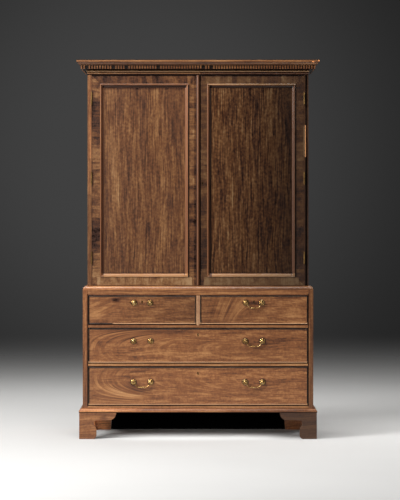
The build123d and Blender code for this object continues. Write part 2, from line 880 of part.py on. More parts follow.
def dovetailed_box(x_span, y_front, y_rear, z_low, z_top, tail_reach, tail_top, tail_count, lip):
    """Sides, back and bottom behind a front whose inner face is at y_front."""
    thick = drawer_side
    bottom = (z_low + bottom_rise, z_low + bottom_rise + drawer_bottom)
    rear_root = y_rear - thick
    side_x = (x_span[0], x_span[0] + thick)
    groove_x = (side_x[1] - bottom_housing, side_x[1])
    front_tails = (y_front, -tail_reach, z_low, tail_top, tail_count)
    side = box_side(side_x, (y_front, rear_root), (z_low, z_top), groove_x, bottom, front_tails, lip)
    middle = Plane(origin=((x_span[0] + x_span[1]) / 2, 0, 0), z_dir=(1, 0, 0))
    sockets = tail_sockets(x_span, rear_root, thick, bottom[1], z_top, 3)
    with BuildPart() as back:
        block(x_span, (rear_root, y_rear), (bottom[1], z_top))
        add(sockets.part, mode=Mode.SUBTRACT)
    floor_x = (groove_x[0], x_span[1] - thick + bottom_housing)
    floor = plank(floor_x, (y_front - bottom_housing, y_rear), bottom)
    return side, twin(side, middle), back, floor


def cockbead(x_span, z_span):
    """Thin rounded strips let in round the edge of a drawer front, mitred at the corners."""
    x_low, x_high = x_span
    z_low, z_high = z_span
    width, height = x_high - x_low, z_high - z_low
    face = Plane.XZ.offset(-lower_front + bead_proud)
    with BuildPart() as ring:
        with BuildSketch(face):
            with Locations((sum(x_span) / 2, sum(z_span) / 2)):
                Rectangle(width, height)
                Rectangle(width - 2 * bead_width, height - 2 * bead_width, mode=Mode.SUBTRACT)
        extrude(amount=-bead_depth)
        fillet(ring.faces().sort_by(Axis.Y)[0].edges(), bead_width * 0.45)
    outer = ((x_low, z_low), (x_high, z_low), (x_high, z_high), (x_low, z_high))
    inner = (
        (x_low + bead_width, z_low + bead_width),
        (x_high - bead_width, z_low + bead_width),
        (x_high - bead_width, z_high - bead_width),
        (x_low + bead_width, z_high - bead_width),
    )
    strips = []
    for corner in range(4):
        following = (corner + 1) % 4
        with BuildPart() as strip:
            add(ring.part)
            with BuildSketch(face):
                Polygon(outer[corner], outer[following], inner[following], inner[corner])
            extrude(amount=-bead_depth, mode=Mode.INTERSECT)
        strips.append(strip)
    return strips


def drawer_front(x_span, z_span, lock_x, handles, tail_top, tail_count, side_low):
    """Front board with its cockbead, cut for tails, bottom, lock, keyhole and handle posts."""
    x_mid, z_mid = sum(x_span) / 2, sum(z_span) / 2
    width, height = x_span[1] - x_span[0], z_span[1] - z_span[0]
    inset = 2 * bead_width
    sockets = tail_sockets(x_span, front_back, -tail_length, side_low, tail_top, tail_count)
    void = keyhole_void(lock_x, lower_front, z_span[1] - keyhole_drop, front_thickness - lock_depth)
    with BuildPart() as front:
        with BuildSketch(Plane.XZ.offset(-lower_front)):
            with Locations((x_mid, z_mid)):
                Rectangle(width - inset, height - inset)
        extrude(amount=-bead_depth + bead_proud)
        block(x_span, (lower_front + bead_depth - bead_proud, front_back), z_span)
        add(sockets.part, mode=Mode.SUBTRACT)
        groove_x = (x_span[0] + drawer_side - bottom_housing, x_span[1] - drawer_side + bottom_housing)
        groove_z = (side_low + bottom_rise, side_low + bottom_rise + drawer_bottom)
        block(groove_x, (front_back - bottom_housing, front_back), groove_z, Mode.SUBTRACT)
        lock_z = (z_span[1] - lock_height, z_span[1])
        block(around(lock_x, lock_width), (front_back - lock_depth, front_back), lock_z, Mode.SUBTRACT)
        add(void.part, mode=Mode.SUBTRACT)
        with BuildSketch(Plane.XZ.offset(-lower_front)):
            with Locations(*handles):
                Circle(shank_radius + post_play)
        extrude(amount=-front_thickness, mode=Mode.SUBTRACT)
    return front, *cockbead(x_span, z_span)


def drawer_lock(x, top):
    """Lock case let into the back of a drawer front, its keyhole lining and its bolt."""
    bolt_x = around(x, lock_bolt_width)
    bolt_y = around(lock_y, lock_bolt_thick)
    bolt_z = (top - lock_bolt_height, top - running_gap)
    with BuildPart() as case:
        block(around(x, lock_width), (front_back - lock_depth, front_back), (top - lock_height, top))
        block(widened(bolt_x), widened(bolt_y), (bolt_z[0] - bolt_play, top), Mode.SUBTRACT)
    return case, keyhole_lining(x, lower_front, top - keyhole_drop), plank(bolt_x, bolt_y, bolt_z)


def handle_post(x, z):
    """Cast post with a ball head bored for the bail, its shank and its nut."""
    head = pivot_proud
    throat = (ball_radius**2 - post_radius**2) ** 0.5
    nut_top = -front_thickness
    nut_end = nut_top - nut_thick
    shank_end = nut_end - shank_proud
    with BuildPart() as post:
        with BuildSketch(Plane(origin=(x, lower_front, z), x_dir=(1, 0, 0), z_dir=(0, 0, -1))):
            with BuildLine():
                Polyline((0, head + ball_radius), (0, shank_end), (shank_radius, shank_end))
                Polyline((shank_radius, shank_end), (shank_radius, nut_end), (nut_radius, nut_end))
                Line((nut_radius, nut_end), (nut_radius, nut_top))
                Polyline((nut_radius, nut_top), (shank_radius, nut_top), (shank_radius, 0))
                Polyline((shank_radius, 0), (post_radius, 0), (post_radius, head - throat))
                ThreePointArc((post_radius, head - throat), (ball_radius, head), (0, head + ball_radius))
            make_face()
        revolve(axis=Axis((x, lower_front, z), (0, -1, 0)))
        with BuildSketch(Plane.YZ.offset(x - ball_radius - 1)):
            with Locations((lower_front - head, z)):
                Circle(bail_pin + pin_bore_play)
        extrude(amount=2 * ball_radius + 2, mode=Mode.SUBTRACT)
    return post


def rosette(x, z):
    """Stamped round plate under a post, dished towards its rim."""
    bore = post_radius + post_play
    with BuildPart() as plate:
        with BuildSketch(Plane(origin=(x, lower_front, z), x_dir=(1, 0, 0), z_dir=(0, 0, -1))):
            with BuildLine():
                Polyline((bore, rosette_height), (bore, 0), (rosette_radius, 0), (rosette_radius, 0.9))
                ThreePointArc((rosette_radius, 0.9), (12.6, 2), (10.8, 1.1))
                ThreePointArc((10.8, 1.1), (8, 1.4), (6, rosette_height))
                Line((6, rosette_height), (bore, rosette_height))
            make_face()
        revolve(axis=Axis((x, lower_front, z), (0, -1, 0)))
    return plate


def bail(x, z, spacing):
    """Swan-neck bail hanging between two posts, thicker at the grip."""
    half = spacing / 2
    pivot_y = lower_front - pivot_proud
    start = half - ball_radius - 1
    knee, hip = half - 10.5, half - 22
    face = Plane(origin=(x, pivot_y, z), x_dir=(1, 0, 0), z_dir=(0, -1, 0))
    with BuildPart() as swan_neck:
        with BuildLine(face) as route:
            FilletPolyline(
                (-start, 0), (-start + 5, 0), (-knee - 1, -15.5), (-hip, -bail_drop),
                (hip, -bail_drop), (knee + 1, -15.5), (start - 5, 0), (start, 0),
                radius=(4, 12, 12, 12, 12, 4),
            )
        with BuildSketch(Plane(origin=route.line @ 0, z_dir=route.line % 0)):
            Circle(bail_radius)
        sweep()
        for side in (-1, 1):
            with BuildSketch(Plane.YZ.offset(x + side * start)):
                with Locations((pivot_y, z)):
                    Circle(bail_pin)
            extrude(amount=side * (half + 3 - start))
        with BuildSketch(Plane(origin=(x, pivot_y, z - bail_drop), x_dir=(1, 0, 0), z_dir=(0, -1, 0))):
            with BuildLine():
                ThreePointArc((-15, bail_radius - 0.2), (0, grip_radius), (15, bail_radius - 0.2))
                Polyline((15, bail_radius - 0.2), (15, 0), (-15, 0), (-15, bail_radius - 0.2))
            make_face()
        revolve(axis=Axis((x, pivot_y, z - bail_drop), (1, 0, 0)))
    return swan_neck


def drawer(name, row, x_opening, z_opening, centres, bails):
    """One drawer: front, dovetailed box, brasses, lock bolt and the bails it still has."""
    x_span = (x_opening[0] + drawer_gap, x_opening[1] - drawer_gap)
    z_span = (z_opening[0] + running_gap, z_opening[1] - drawer_gap)
    lock_x = sum(x_opening) / 2
    handle_z = z_opening[1] - handle_drops[row]
    half = post_spacings[row] / 2
    posts = [(x + side * half, handle_z) for x in centres for side in (-1, 1)]
    side_top = z_span[1] - 5
    tail_count = 3 if row == "top" else 4
    front = drawer_front(x_span, z_span, lock_x, posts, side_top, tail_count, z_span[0])
    write(f"{name}_front", *front)
    rear = lower_front + drawer_depth
    box = dovetailed_box(
        x_span, front_back, rear, z_span[0], side_top, tail_length, side_top, tail_count, side_top
    )
    write(f"{name}_box", *box)
    case, lining, bolt = drawer_lock(lock_x, z_span[1])
    brasses = [maker(*place) for place in posts for maker in (handle_post, rosette)]
    write(f"{name}_brasses", *brasses, case, lining)
    write(f"{name}_lock_bolt", bolt)
    for bail_name, x in bails:
        write(bail_name, bail(x, handle_z, post_spacings[row]))


def drawers():
    half = divider_width / 2
    left, right = (-lower_inside, -half), (half, lower_inside)
    full = (-lower_inside, lower_inside)
    top_z = (top_opening, top_drawer_top)
    middle_z = (middle_opening, middle_drawer_top)
    bottom_z = (bottom_opening, bottom_drawer_top)
    pair = (-handle_centre, handle_centre)
    drawer("drawer_top_left", "top", left, top_z, pair[:1], ())
    drawer("drawer_top_right", "top", right, top_z, pair[1:], (("bail_top_right", pair[1]),))
    drawer("drawer_middle", "middle", full, middle_z, pair, (("bail_middle_right", pair[1]),))
    both = (("bail_bottom_left", pair[0]), ("bail_bottom_right", pair[1]))
    drawer("drawer_bottom", "bottom", full, bottom_z, pair, both)


def trays():
    """Shallow sliding trays with low fronts, dovetailed right through."""
    half = upper_inside - tray_side_gap
    x_span = (-half, half)
    inner_y = tray_front_y + tray_front
    for number in range(tray_count):
        low = tray_bottom(number)
        lip, top = low + tray_lip, low + tray_height
        sockets = tail_sockets(x_span, inner_y, -tray_front, low, lip, 2)
        with BuildPart() as front:
            block(x_span, (tray_front_y, inner_y), (low, lip))
            add(sockets.part, mode=Mode.SUBTRACT)
            groove_x = (-half + drawer_side - bottom_housing, half - drawer_side + bottom_housing)
            groove_z = (low + bottom_rise, low + bottom_rise + drawer_bottom)
            block(groove_x, (inner_y - bottom_housing, inner_y), groove_z, Mode.SUBTRACT)
        rear = tray_front_y + tray_depth
        box = dovetailed_box(x_span, inner_y, rear, low, top, tray_front, lip, 2, lip)
        write(f"tray_{number + 1}", front, *box)


lower_case()
drawer_rails()
drawer_divider()
dust_boards()
mouldings()
feet()
upper_case()
tray_runners()
case_hinges()
cornice()
dentils()
left_door()
right_door()
trays()
drawers()
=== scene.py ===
import math
import random

import bmesh
import bpy
from mathutils import Matrix, Vector


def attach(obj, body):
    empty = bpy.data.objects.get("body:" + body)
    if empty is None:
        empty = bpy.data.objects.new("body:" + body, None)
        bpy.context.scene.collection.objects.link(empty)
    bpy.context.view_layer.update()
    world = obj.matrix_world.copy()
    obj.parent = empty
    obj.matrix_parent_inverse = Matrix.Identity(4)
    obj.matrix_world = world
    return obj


# Old mahogany linen press in a dim studio, in the frame of the CAD model: the doors face -Y, Z is up.
# The dictionaries of the studio are in metres, those of the press in millimetres.

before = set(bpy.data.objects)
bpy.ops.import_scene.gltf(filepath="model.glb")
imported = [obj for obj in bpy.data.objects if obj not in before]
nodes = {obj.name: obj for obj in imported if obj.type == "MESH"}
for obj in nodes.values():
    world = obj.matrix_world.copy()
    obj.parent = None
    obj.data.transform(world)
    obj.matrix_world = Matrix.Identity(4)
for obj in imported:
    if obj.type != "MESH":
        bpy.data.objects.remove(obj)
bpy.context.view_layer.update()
print("frame loaded,", len(nodes), "nodes")


def linearColour(code):
    # sRGB hex to the linear values that shader sockets take
    channels = [int(code[i:i + 2], 16) / 255 for i in (1, 3, 5)]
    return [c / 12.92 if c <= 0.04045 else ((c + 0.055) / 1.055) ** 2.4 for c in channels] + [1]


def addNode(tree, kind, settings=None, links=None):
    # settings go to the node's own properties or, by name or number, to its inputs
    node = tree.nodes.new(kind)
    for key, value in (settings or {}).items():
        if isinstance(key, str) and hasattr(node, key):
            setattr(node, key, value)
        else:
            node.inputs[key].default_value = value
    for key, source in (links or {}).items():
        socket = source if hasattr(source, "is_linked") else source.outputs[0]
        tree.links.new(socket, node.inputs[key])
    return node


def newMaterial(name, settings=None):
    material = bpy.data.materials.new(name)
    material.use_nodes = True
    tree = material.node_tree
    tree.nodes.clear()
    shader = addNode(tree, "ShaderNodeBsdfPrincipled", settings)
    addNode(tree, "ShaderNodeOutputMaterial", {}, {"Surface": shader})
    return material, tree, shader


def dress(material, *names):
    for name in names:
        slots = nodes[name].data.materials
        slots.clear()
        slots.append(material)


def meshObject(name, shape, material):
    # a finished bmesh becomes an object in the scene
    mesh = bpy.data.meshes.new(name)
    shape.to_mesh(mesh)
    shape.free()
    mesh.materials.append(material)
    made = bpy.data.objects.new(name, mesh)
    bpy.context.scene.collection.objects.link(made)
    return made


# Studio

paper = {
    "colour": "#c8c7c5",
    "mottle": "#c3c2c0",
    "mottleSize": 0.7143,
    "bounce": "#767573",     # held down, so that hollows stay dark
    "radius": 15.0,
    "segments": 96,
    "fadeFrom": 1.6,         # where it starts to run out into the dark
    "fadeTo": 10.8,
}


def seenDirectly(tree):
    # 1 for what the lens sees, straight or in a polished face, and 0 for light that only bounces
    rays = addNode(tree, "ShaderNodeLightPath")
    seen = rays.outputs["Is Camera Ray"]
    for kind in ("Is Glossy Ray", "Is Transmission Ray"):
        seen = addNode(tree, "ShaderNodeMath", {"operation": "MAXIMUM"}, {0: seen, 1: rays.outputs[kind]})
    return seen


def buildFloor():
    # matt background paper: chalky, faintly uneven and without shine
    material, tree, shader = newMaterial("mattPaper", {"Roughness": 0.95, "Specular IOR Level": 0.1})
    place = addNode(tree, "ShaderNodeTexCoord").outputs["Object"]
    mottle = addNode(tree, "ShaderNodeTexNoise", {"Scale": 1 / paper["mottleSize"], "Detail": 3},
                     {"Vector": place})
    tint = addNode(tree, "ShaderNodeMix", {"data_type": "RGBA", 6: linearColour(paper["colour"]),
                                           7: linearColour(paper["mottle"])}, {0: mottle})
    colour = addNode(tree, "ShaderNodeMix", {"data_type": "RGBA", 6: linearColour(paper["bounce"])},
                     {0: seenDirectly(tree), 7: tint.outputs[2]})
    tree.links.new(colour.outputs[2], shader.inputs["Base Color"])
    distance = addNode(tree, "ShaderNodeVectorMath", {"operation": "LENGTH"}, {0: place})
    fade = addNode(tree, "ShaderNodeMapRange", {"interpolation_type": "SMOOTHSTEP", 1: paper["fadeFrom"],
                                                2: paper["fadeTo"]}, {0: distance.outputs["Value"]})
    clear = addNode(tree, "ShaderNodeBsdfTransparent")
    surface = addNode(tree, "ShaderNodeMixShader", {}, {0: fade, 1: shader, 2: clear})
    tree.links.new(surface.outputs[0], tree.nodes["Material Output"].inputs["Surface"])
    shape = bmesh.new()
    bmesh.ops.create_circle(shape, cap_ends=True, segments=paper["segments"], radius=paper["radius"])
    floor = meshObject("paperFloor", shape, material)


# a sheet of painted shade under the chest
shadeCard = {
    "colours": ("#050505", "#0b0b0b"),
    "speckleSize": 0.001111,
    "low": (0.4765, 0.001),       # half width and height of the lower corners
    "high": (0.4650, 0.1375),     # and of the upper ones
    "depth": 0.276,
    "thick": 0.003,
}


def buildShadeCard():
    # near-black card, which throws back next to no light: painted shade, a dark sheet that stands between
    # the rear feet and closes the view under the chest in place of the shade there
    material, tree, shader = newMaterial("paintedShadeCard", {"Roughness": 1, "Specular IOR Level": 0})
    place = addNode(tree, "ShaderNodeTexCoord").outputs["Object"]
    speckle = addNode(tree, "ShaderNodeTexNoise", {"Scale": 1 / shadeCard["speckleSize"], "Detail": 2}, {"Vector": place})
    dark, light = shadeCard["colours"]
    shade = addNode(tree, "ShaderNodeMix", {"data_type": "RGBA", 6: linearColour(dark),
                                            7: linearColour(light)}, {0: speckle})
    tree.links.new(shade.outputs[2], shader.inputs["Base Color"])
    (halfLow, low), (halfHigh, high) = shadeCard["low"], shadeCard["high"]
    corners = [(-halfLow, low), (halfLow, low), (halfHigh, high), (-halfHigh, high)]
    shape = bmesh.new()
    face = shape.faces.new([shape.verts.new((x, shadeCard["depth"], z)) for x, z in corners])
    deep = bmesh.ops.extrude_face_region(shape, geom=[face])["geom"]
    far = [vert for vert in deep if isinstance(vert, bmesh.types.BMVert)]
    bmesh.ops.translate(shape, verts=far, vec=(0, shadeCard["thick"], 0))
    bmesh.ops.recalc_face_normals(shape, faces=shape.faces)
    card = meshObject("shadeCardUnderChest", shape, material)


backdrop = {
    "colour": "#242424",
    "glow": "#404040",             # a painted pool of light on the wall behind the press
    "glowAt": (-0.024, 1.0, 0.025),
    "glowFrom": 0.03,
    "glowTo": 0.145,
    "fill": 0.10,                  # even light from all round
}


def buildWorld():
    world = bpy.data.worlds.new("dimStudio")
    bpy.context.scene.world = world
    world.use_nodes = True
    tree = world.node_tree
    tree.nodes.clear()
    way = addNode(tree, "ShaderNodeTexCoord").outputs["Generated"]
    centre = Vector(backdrop["glowAt"]).normalized()
    apart = addNode(tree, "ShaderNodeVectorMath", {"operation": "DISTANCE", 1: centre}, {0: way})
    spread = addNode(tree, "ShaderNodeMapRange", {"interpolation_type": "SMOOTHSTEP",
                                                  1: backdrop["glowFrom"], 2: backdrop["glowTo"]},
                     {0: apart.outputs["Value"]})
    shade = addNode(tree, "ShaderNodeMix", {"data_type": "RGBA", 6: linearColour(backdrop["glow"]),
                                            7: linearColour(backdrop["colour"])}, {0: spread})
    seen = addNode(tree, "ShaderNodeBackground", {"Strength": 1.0}, {"Color": shade.outputs[2]})
    filling = addNode(tree, "ShaderNodeBackground", {"Color": (1, 1, 1, 1), "Strength": backdrop["fill"]})
    mixed = addNode(tree, "ShaderNodeMixShader", {}, {0: seenDirectly(tree), 1: filling, 2: seen})
    addNode(tree, "ShaderNodeOutputWorld", {}, {"Surface": mixed})


# a lamp without sheen doesn't show in the polish
lamps = {
    "keyLamp": {"at": (-4.5, -3.4, 3.7), "aim": (0.0, -0.4, 0.9), "size": (2.0, 2.0), "power": 520},
    "topLamp": {"at": (-0.4, -2.1, 4.3), "aim": (0.0, -0.6, 0.3), "size": (2.2, 1.6), "power": 104},
    "glossLamp": {"at": (-1.35, -4.0, 1.75), "aim": (-0.3, -0.2, 1.3), "size": (0.8, 1.6), "power": 5},
    "sideLamp": {"at": (3.4, -4.6, 2.6), "aim": (1.0, 0.2, 0.0), "size": (2.0, 2.0), "power": 19},
    "floorLamp": {"at": (-0.7, 2.2, 3.2), "aim": (-0.7, 1.9, 0.0), "size": (3.6, 1.8), "power": 50},
    "rightLamp": {"at": (1.7, 0.2, 1.7), "aim": (1.25, 0.35, 0.0), "size": (1.0, 1.0), "power": 19,
                  "sheen": False},
    "lowLamp": {"at": (-2.3, -3.5, 0.6), "aim": (-0.3, 0.0, 0.1), "size": (2.0, 0.8), "power": 24,
                "sheen": False},
    "underLamp": {"at": (0.0, -0.14, 0.132), "aim": (0.0, -0.16, 0.0), "size": (0.84, 0.14), "power": 0.92,
                  "sheen": False},
}


def buildLamps():
    for name, lamp in lamps.items():
        light = bpy.data.lights.new(name, "AREA")
        light.shape = "RECTANGLE"
        light.size, light.size_y = lamp["size"]
        light.energy = lamp["power"]
        holder = bpy.data.objects.new(name, light)
        bpy.context.scene.collection.objects.link(holder)
        holder.location = lamp["at"]
        aim = Vector(lamp["aim"]) - Vector(lamp["at"])
        holder.rotation_euler = aim.to_track_quat("-Z", "Y").to_euler()
        holder.visible_camera = False
        holder.visible_glossy = lamp.get("sheen", True)


lens = {"focal": 171.7, "sensor": 36, "shift": (0.004, -0.08), "at": (0, -12.756, 1.199)}


def buildCamera():
    camera = bpy.data.cameras.new("longLens")
    camera.lens = lens["focal"]
    camera.sensor_width = lens["sensor"]
    camera.shift_x, camera.shift_y = lens["shift"]
    holder = bpy.data.objects.new("longLens", camera)
    bpy.context.scene.collection.objects.link(holder)
    holder.location = lens["at"]
    holder.rotation_euler = (math.radians(90), 0, 0)     # level
    bpy.context.scene.camera = holder


buildFloor()
buildShadeCard()
buildWorld()
buildLamps()
buildCamera()
bpy.context.scene.view_settings.view_transform = "Standard"
print("studio ready")


# Wood

# A wood's own dictionary says how its grain lies, how it has aged and where light and shade are painted on
# it:
# layers: streaks as (width, length, detail, amount); grain: the axis that they follow
# start, turn: where the figure is measured from, and its slope
# wander, drift: how far the grain strays, and over what length; ripple: shorter waves as (length, depth)
# pieces: (length, amount) of separate pieces of veneer or boards
# tone: how light it is; fade: (from x, to x, factor there, factor there); ends: factor behind the front
# marks: patches at (x, z, width, height), either rectangles with a soft margin or ovals round a core,
# and with a front only where the wood is nearer than that depth; paintedArrisLight: such patches that
# multiply the colour by their tone, as painted highlights or painted shade

oldPolish = {
    "colours": ("#1d0f09", "#4c2a19", "#82512f", "#b07c4e", "#d6a878"),
    "wander": 30,
    "drift": 384.6,
    "poreSize": (1.6, 16),         # real pores are 0.2 mm wide, too fine to show
    "poreRange": (0.6, 0.72),
    "poreDark": 0.4,
    "poreBump": 0.0003,            # metres deep
    "frontEnds": (-240, -120),     # depth over which the look of the front gives way to that of the ends
    "matteBelow": 0.2,                # below this tone, in the darkest figure and in painted shade, the wood has no shine
    "matteShine": 0.1,
    "shine": 0.5,
    "coat": 0.2,
    "coatRoughness": 0.16,
    "roughness": (0.28, 0.4),
    "ior": 1.5,
}


def grainPlace(tree, wood):
    # millimetres across the grain, through the board and along the grain
    place = addNode(tree, "ShaderNodeTexCoord").outputs["Object"]
    start = wood.get("start", (0, 0, 0))
    local = addNode(tree, "ShaderNodeMapping", {"vector_type": "TEXTURE",
                                                "Location": [value / 1000 for value in start],
                                                "Rotation": (0, math.radians(wood.get("turn", 0)), 0),
                                                "Scale": (0.001, 0.001, 0.001)}, {"Vector": place})
    x, y, z = addNode(tree, "ShaderNodeSeparateXYZ", {}, {0: local}).outputs
    drift = wood.get("drift", oldPolish["drift"])
    slow = addNode(tree, "ShaderNodeTexNoise", {"Scale": 1000 / drift, "Detail": 1.5}, {"Vector": place})
    wander = wood.get("wander", oldPolish["wander"])
    shift = addNode(tree, "ShaderNodeMath", {"operation": "MULTIPLY_ADD", 1: wander, 2: -wander / 2},
                    {0: slow})
    if "ripple" in wood:
        # short waves on top of the slow ones
        length, depth = wood["ripple"]
        waves = addNode(tree, "ShaderNodeTexNoise", {"Scale": 1000 / length, "Detail": 2}, {"Vector": place})
        shift = addNode(tree, "ShaderNodeMath", {"operation": "MULTIPLY_ADD", 1: depth},
                        {0: waves, 2: shift})
    grain = wood.get("grain", "Z")
    if "bend" in wood:
        # flame figure: every line is a parabola with its point on the local X axis
        bend, flatten = wood["bend"], wood["flatten"]
        leastBend = 0.6 * bend     # no line is flatter than this
        squared = addNode(tree, "ShaderNodeMath", {"operation": "MULTIPLY"}, {0: z, 1: z})
        growth = addNode(tree, "ShaderNodeMath", {"operation": "MULTIPLY_ADD", 1: bend / flatten, 2: bend},
                         {0: x})
        growth = addNode(tree, "ShaderNodeMath", {"operation": "MAXIMUM", 1: leastBend}, {0: growth})
        sag = addNode(tree, "ShaderNodeMath", {"operation": "MULTIPLY"}, {0: squared, 1: growth})
        across, along = addNode(tree, "ShaderNodeMath", {"operation": "SUBTRACT"}, {0: x, 1: sag}), z
    elif grain == "Z":
        across, along = x, z
    elif grain == "Y":
        across, along, y = x, y, z
    else:
        across, along = z, x
    across = addNode(tree, "ShaderNodeMath", {"operation": "ADD"}, {0: across, 1: shift})
    return place, across, y, along


crossband = {"wander": 16, "drift": 142.9}


def crossbandPlace(tree, wood):
    # veneer laid across a door's stiles and rails, mitred at the corners
    place = addNode(tree, "ShaderNodeTexCoord").outputs["Object"]
    scaled = addNode(tree, "ShaderNodeVectorMath", {"operation": "SCALE", "Scale": 1000}, {0: place})
    x, y, z = addNode(tree, "ShaderNodeSeparateXYZ", {}, {0: scaled}).outputs
    fromEdge = []
    for value, (start, end) in zip((x, z), wood["door"]):
        off = addNode(tree, "ShaderNodeMath", {"operation": "SUBTRACT", 1: (start + end) / 2}, {0: value})
        size = addNode(tree, "ShaderNodeMath", {"operation": "ABSOLUTE"}, {0: off})
        half = (end - start) / 2
        fromEdge.append(addNode(tree, "ShaderNodeMath", {"operation": "SUBTRACT", 0: half}, {1: size}))
    onRail = addNode(tree, "ShaderNodeMath", {"operation": "LESS_THAN"}, {0: fromEdge[1], 1: fromEdge[0]})
    across = addNode(tree, "ShaderNodeMix", {"data_type": "FLOAT"}, {0: onRail, 2: z, 3: x})
    along = addNode(tree, "ShaderNodeMix", {"data_type": "FLOAT"}, {0: onRail, 2: x, 3: z})
    if wood.get("lengthwise"):
        across, along = along, across
    slow = addNode(tree, "ShaderNodeTexNoise", {"Scale": 1000 / crossband["drift"], "Detail": 2},
                   {"Vector": place})
    wander = wood.get("wander", crossband["wander"])
    shifted = addNode(tree, "ShaderNodeMath", {"operation": "MULTIPLY_ADD", 1: wander}, {0: slow, 2: across})
    return place, shifted, y, along, across


def grainLayer(tree, axes, width, length, detail):
    vector = addNode(tree, "ShaderNodeCombineXYZ", {}, dict(enumerate(axes)))
    density = (1 / width, 1 / width, 1 / length)
    scaled = addNode(tree, "ShaderNodeVectorMath", {"operation": "MULTIPLY", 1: density}, {0: vector})
    return addNode(tree, "ShaderNodeTexNoise", {"Scale": 1, "Detail": detail}, {"Vector": scaled})


def grainTone(tree, axes, layers):
    # noise layers of falling width added round a middle tone of 0.5, and the broadest one by itself
    noises = [grainLayer(tree, axes, *layer[:3]) for layer in layers]
    amounts = [layer[3] for layer in layers]
    start = 0.5 - sum(amounts) / 2
    total = addNode(tree, "ShaderNodeMath", {"operation": "MULTIPLY_ADD", 1: amounts[0], 2: start},
                    {0: noises[0]})
    for noise, amount in zip(noises[1:], amounts[1:]):
        total = addNode(tree, "ShaderNodeMath", {"operation": "MULTIPLY_ADD", 1: amount},
                        {0: noise, 2: total})
    return total, noises[0]


def markMask(tree, place, mark):
    # soft-edged patch in the XZ plane: 1 inside, 0 outside
    x, z, width, height = mark["at"]
    scale = (0.001, 1, 0.001) if "soft" in mark else (width / 2000, 1000, height / 2000)
    local = addNode(tree, "ShaderNodeMapping", {"vector_type": "TEXTURE",
                                                "Location": (x / 1000, 0, z / 1000),
                                                "Rotation": (0, math.radians(mark.get("turn", 0)), 0),
                                                "Scale": scale}, {"Vector": place})
    if "soft" not in mark:
        size = addNode(tree, "ShaderNodeVectorMath", {"operation": "LENGTH"}, {0: local}).outputs["Value"]
        return addNode(tree, "ShaderNodeMapRange", {"interpolation_type": "SMOOTHSTEP",
                                                    1: mark["core"], 2: 1, 3: 1, 4: 0}, {0: size})
    # a rectangle with the same soft margin all round
    size = addNode(tree, "ShaderNodeVectorMath", {"operation": "ABSOLUTE"}, {0: local})
    inside = addNode(tree, "ShaderNodeVectorMath", {"operation": "SUBTRACT", 0: (width / 2, 0, height / 2)},
                     {1: size})
    parts = addNode(tree, "ShaderNodeSeparateXYZ", {}, {0: inside}).outputs
    depth = addNode(tree, "ShaderNodeMath", {"operation": "MINIMUM"}, {0: parts[0], 1: parts[2]})
    mask = addNode(tree, "ShaderNodeMapRange", {"interpolation_type": "SMOOTHSTEP", 1: 0, 2: mark["soft"]},
                   {0: depth})
    if "front" in mark:
        # only on the front arris, not across the whole edge
        level = addNode(tree, "ShaderNodeSeparateXYZ", {}, {0: place}).outputs[1]
        near = addNode(tree, "ShaderNodeMath", {"operation": "LESS_THAN", 1: mark["front"] / 1000},
                       {0: level})
        mask = addNode(tree, "ShaderNodeMath", {"operation": "MULTIPLY"}, {0: mask, 1: near})
    return mask


def figureTone(tree, wood):
    # how light the figure is, from 0 to 1
    if "door" in wood:
        place, *axes, course = crossbandPlace(tree, wood)
    else:
        place, *axes = grainPlace(tree, wood)
        course = axes[0]
    total, broad = grainTone(tree, axes, wood["layers"])
    if "flame" in wood:
        flame = wood["flame"]
        bent = grainPlace(tree, flame)[1:]
        flameTotal, broad = grainTone(tree, bent, flame["layers"])
        shares = [addNode(tree, "ShaderNodeMath", {"operation": "MULTIPLY", 1: patch["amount"]},
                          {0: markMask(tree, place, patch)}) for patch in flame["patches"]]
        blend = shares[0]
        for share in shares[1:]:
            blend = addNode(tree, "ShaderNodeMath", {"operation": "MAXIMUM"}, {0: share, 1: blend})
        total = addNode(tree, "ShaderNodeMix", {"data_type": "FLOAT"}, {0: blend, 2: total, 3: flameTotal})
    if "pieces" in wood:
        # each piece of veneer or each board has a tone of its own
        pieceLength, amount = wood["pieces"]
        steps = addNode(tree, "ShaderNodeMath", {"operation": "MULTIPLY", 1: 1 / pieceLength}, {0: course})
        cells = addNode(tree, "ShaderNodeTexVoronoi", {"voronoi_dimensions": "1D", "Scale": 1,
                                                       "Randomness": 0.7}, {"W": steps})
        chance = addNode(tree, "ShaderNodeSeparateColor", {}, {0: cells.outputs["Color"]})
        offset = addNode(tree, "ShaderNodeMath", {"operation": "MULTIPLY_ADD", 1: amount, 2: -amount / 2},
                         {0: chance})
        total = addNode(tree, "ShaderNodeMath", {"operation": "ADD"}, {0: total, 1: offset})
    for mark in wood.get("marks", []):
        mask = markMask(tree, place, mark)
        total = addNode(tree, "ShaderNodeMath", {"operation": "MULTIPLY_ADD", 1: mark["amount"]},
                        {0: mask, 2: total})
    return place, axes, total, broad


def recessShade(tree, place, dark, recess):
    # a tone of its own for what lies between two depths, away from the ends
    x, y = addNode(tree, "ShaderNodeSeparateXYZ", {}, {0: place}).outputs[:2]
    side = addNode(tree, "ShaderNodeMath", {"operation": "ABSOLUTE"}, {0: x})
    sunk = addNode(tree, "ShaderNodeMath", {"operation": "LESS_THAN", 1: recess["side"] / 1000}, {0: side})
    for operation, limit in (("GREATER_THAN", recess["front"]), ("LESS_THAN", recess["back"])):
        within = addNode(tree, "ShaderNodeMath", {"operation": operation, 1: limit / 1000}, {0: y})
        sunk = addNode(tree, "ShaderNodeMath", {"operation": "MULTIPLY"}, {0: sunk, 1: within})
    level = addNode(tree, "ShaderNodeMapRange", {3: 1, 4: recess["tone"]}, {0: sunk})
    return addNode(tree, "ShaderNodeMath", {"operation": "MULTIPLY"}, {0: dark, 1: level})


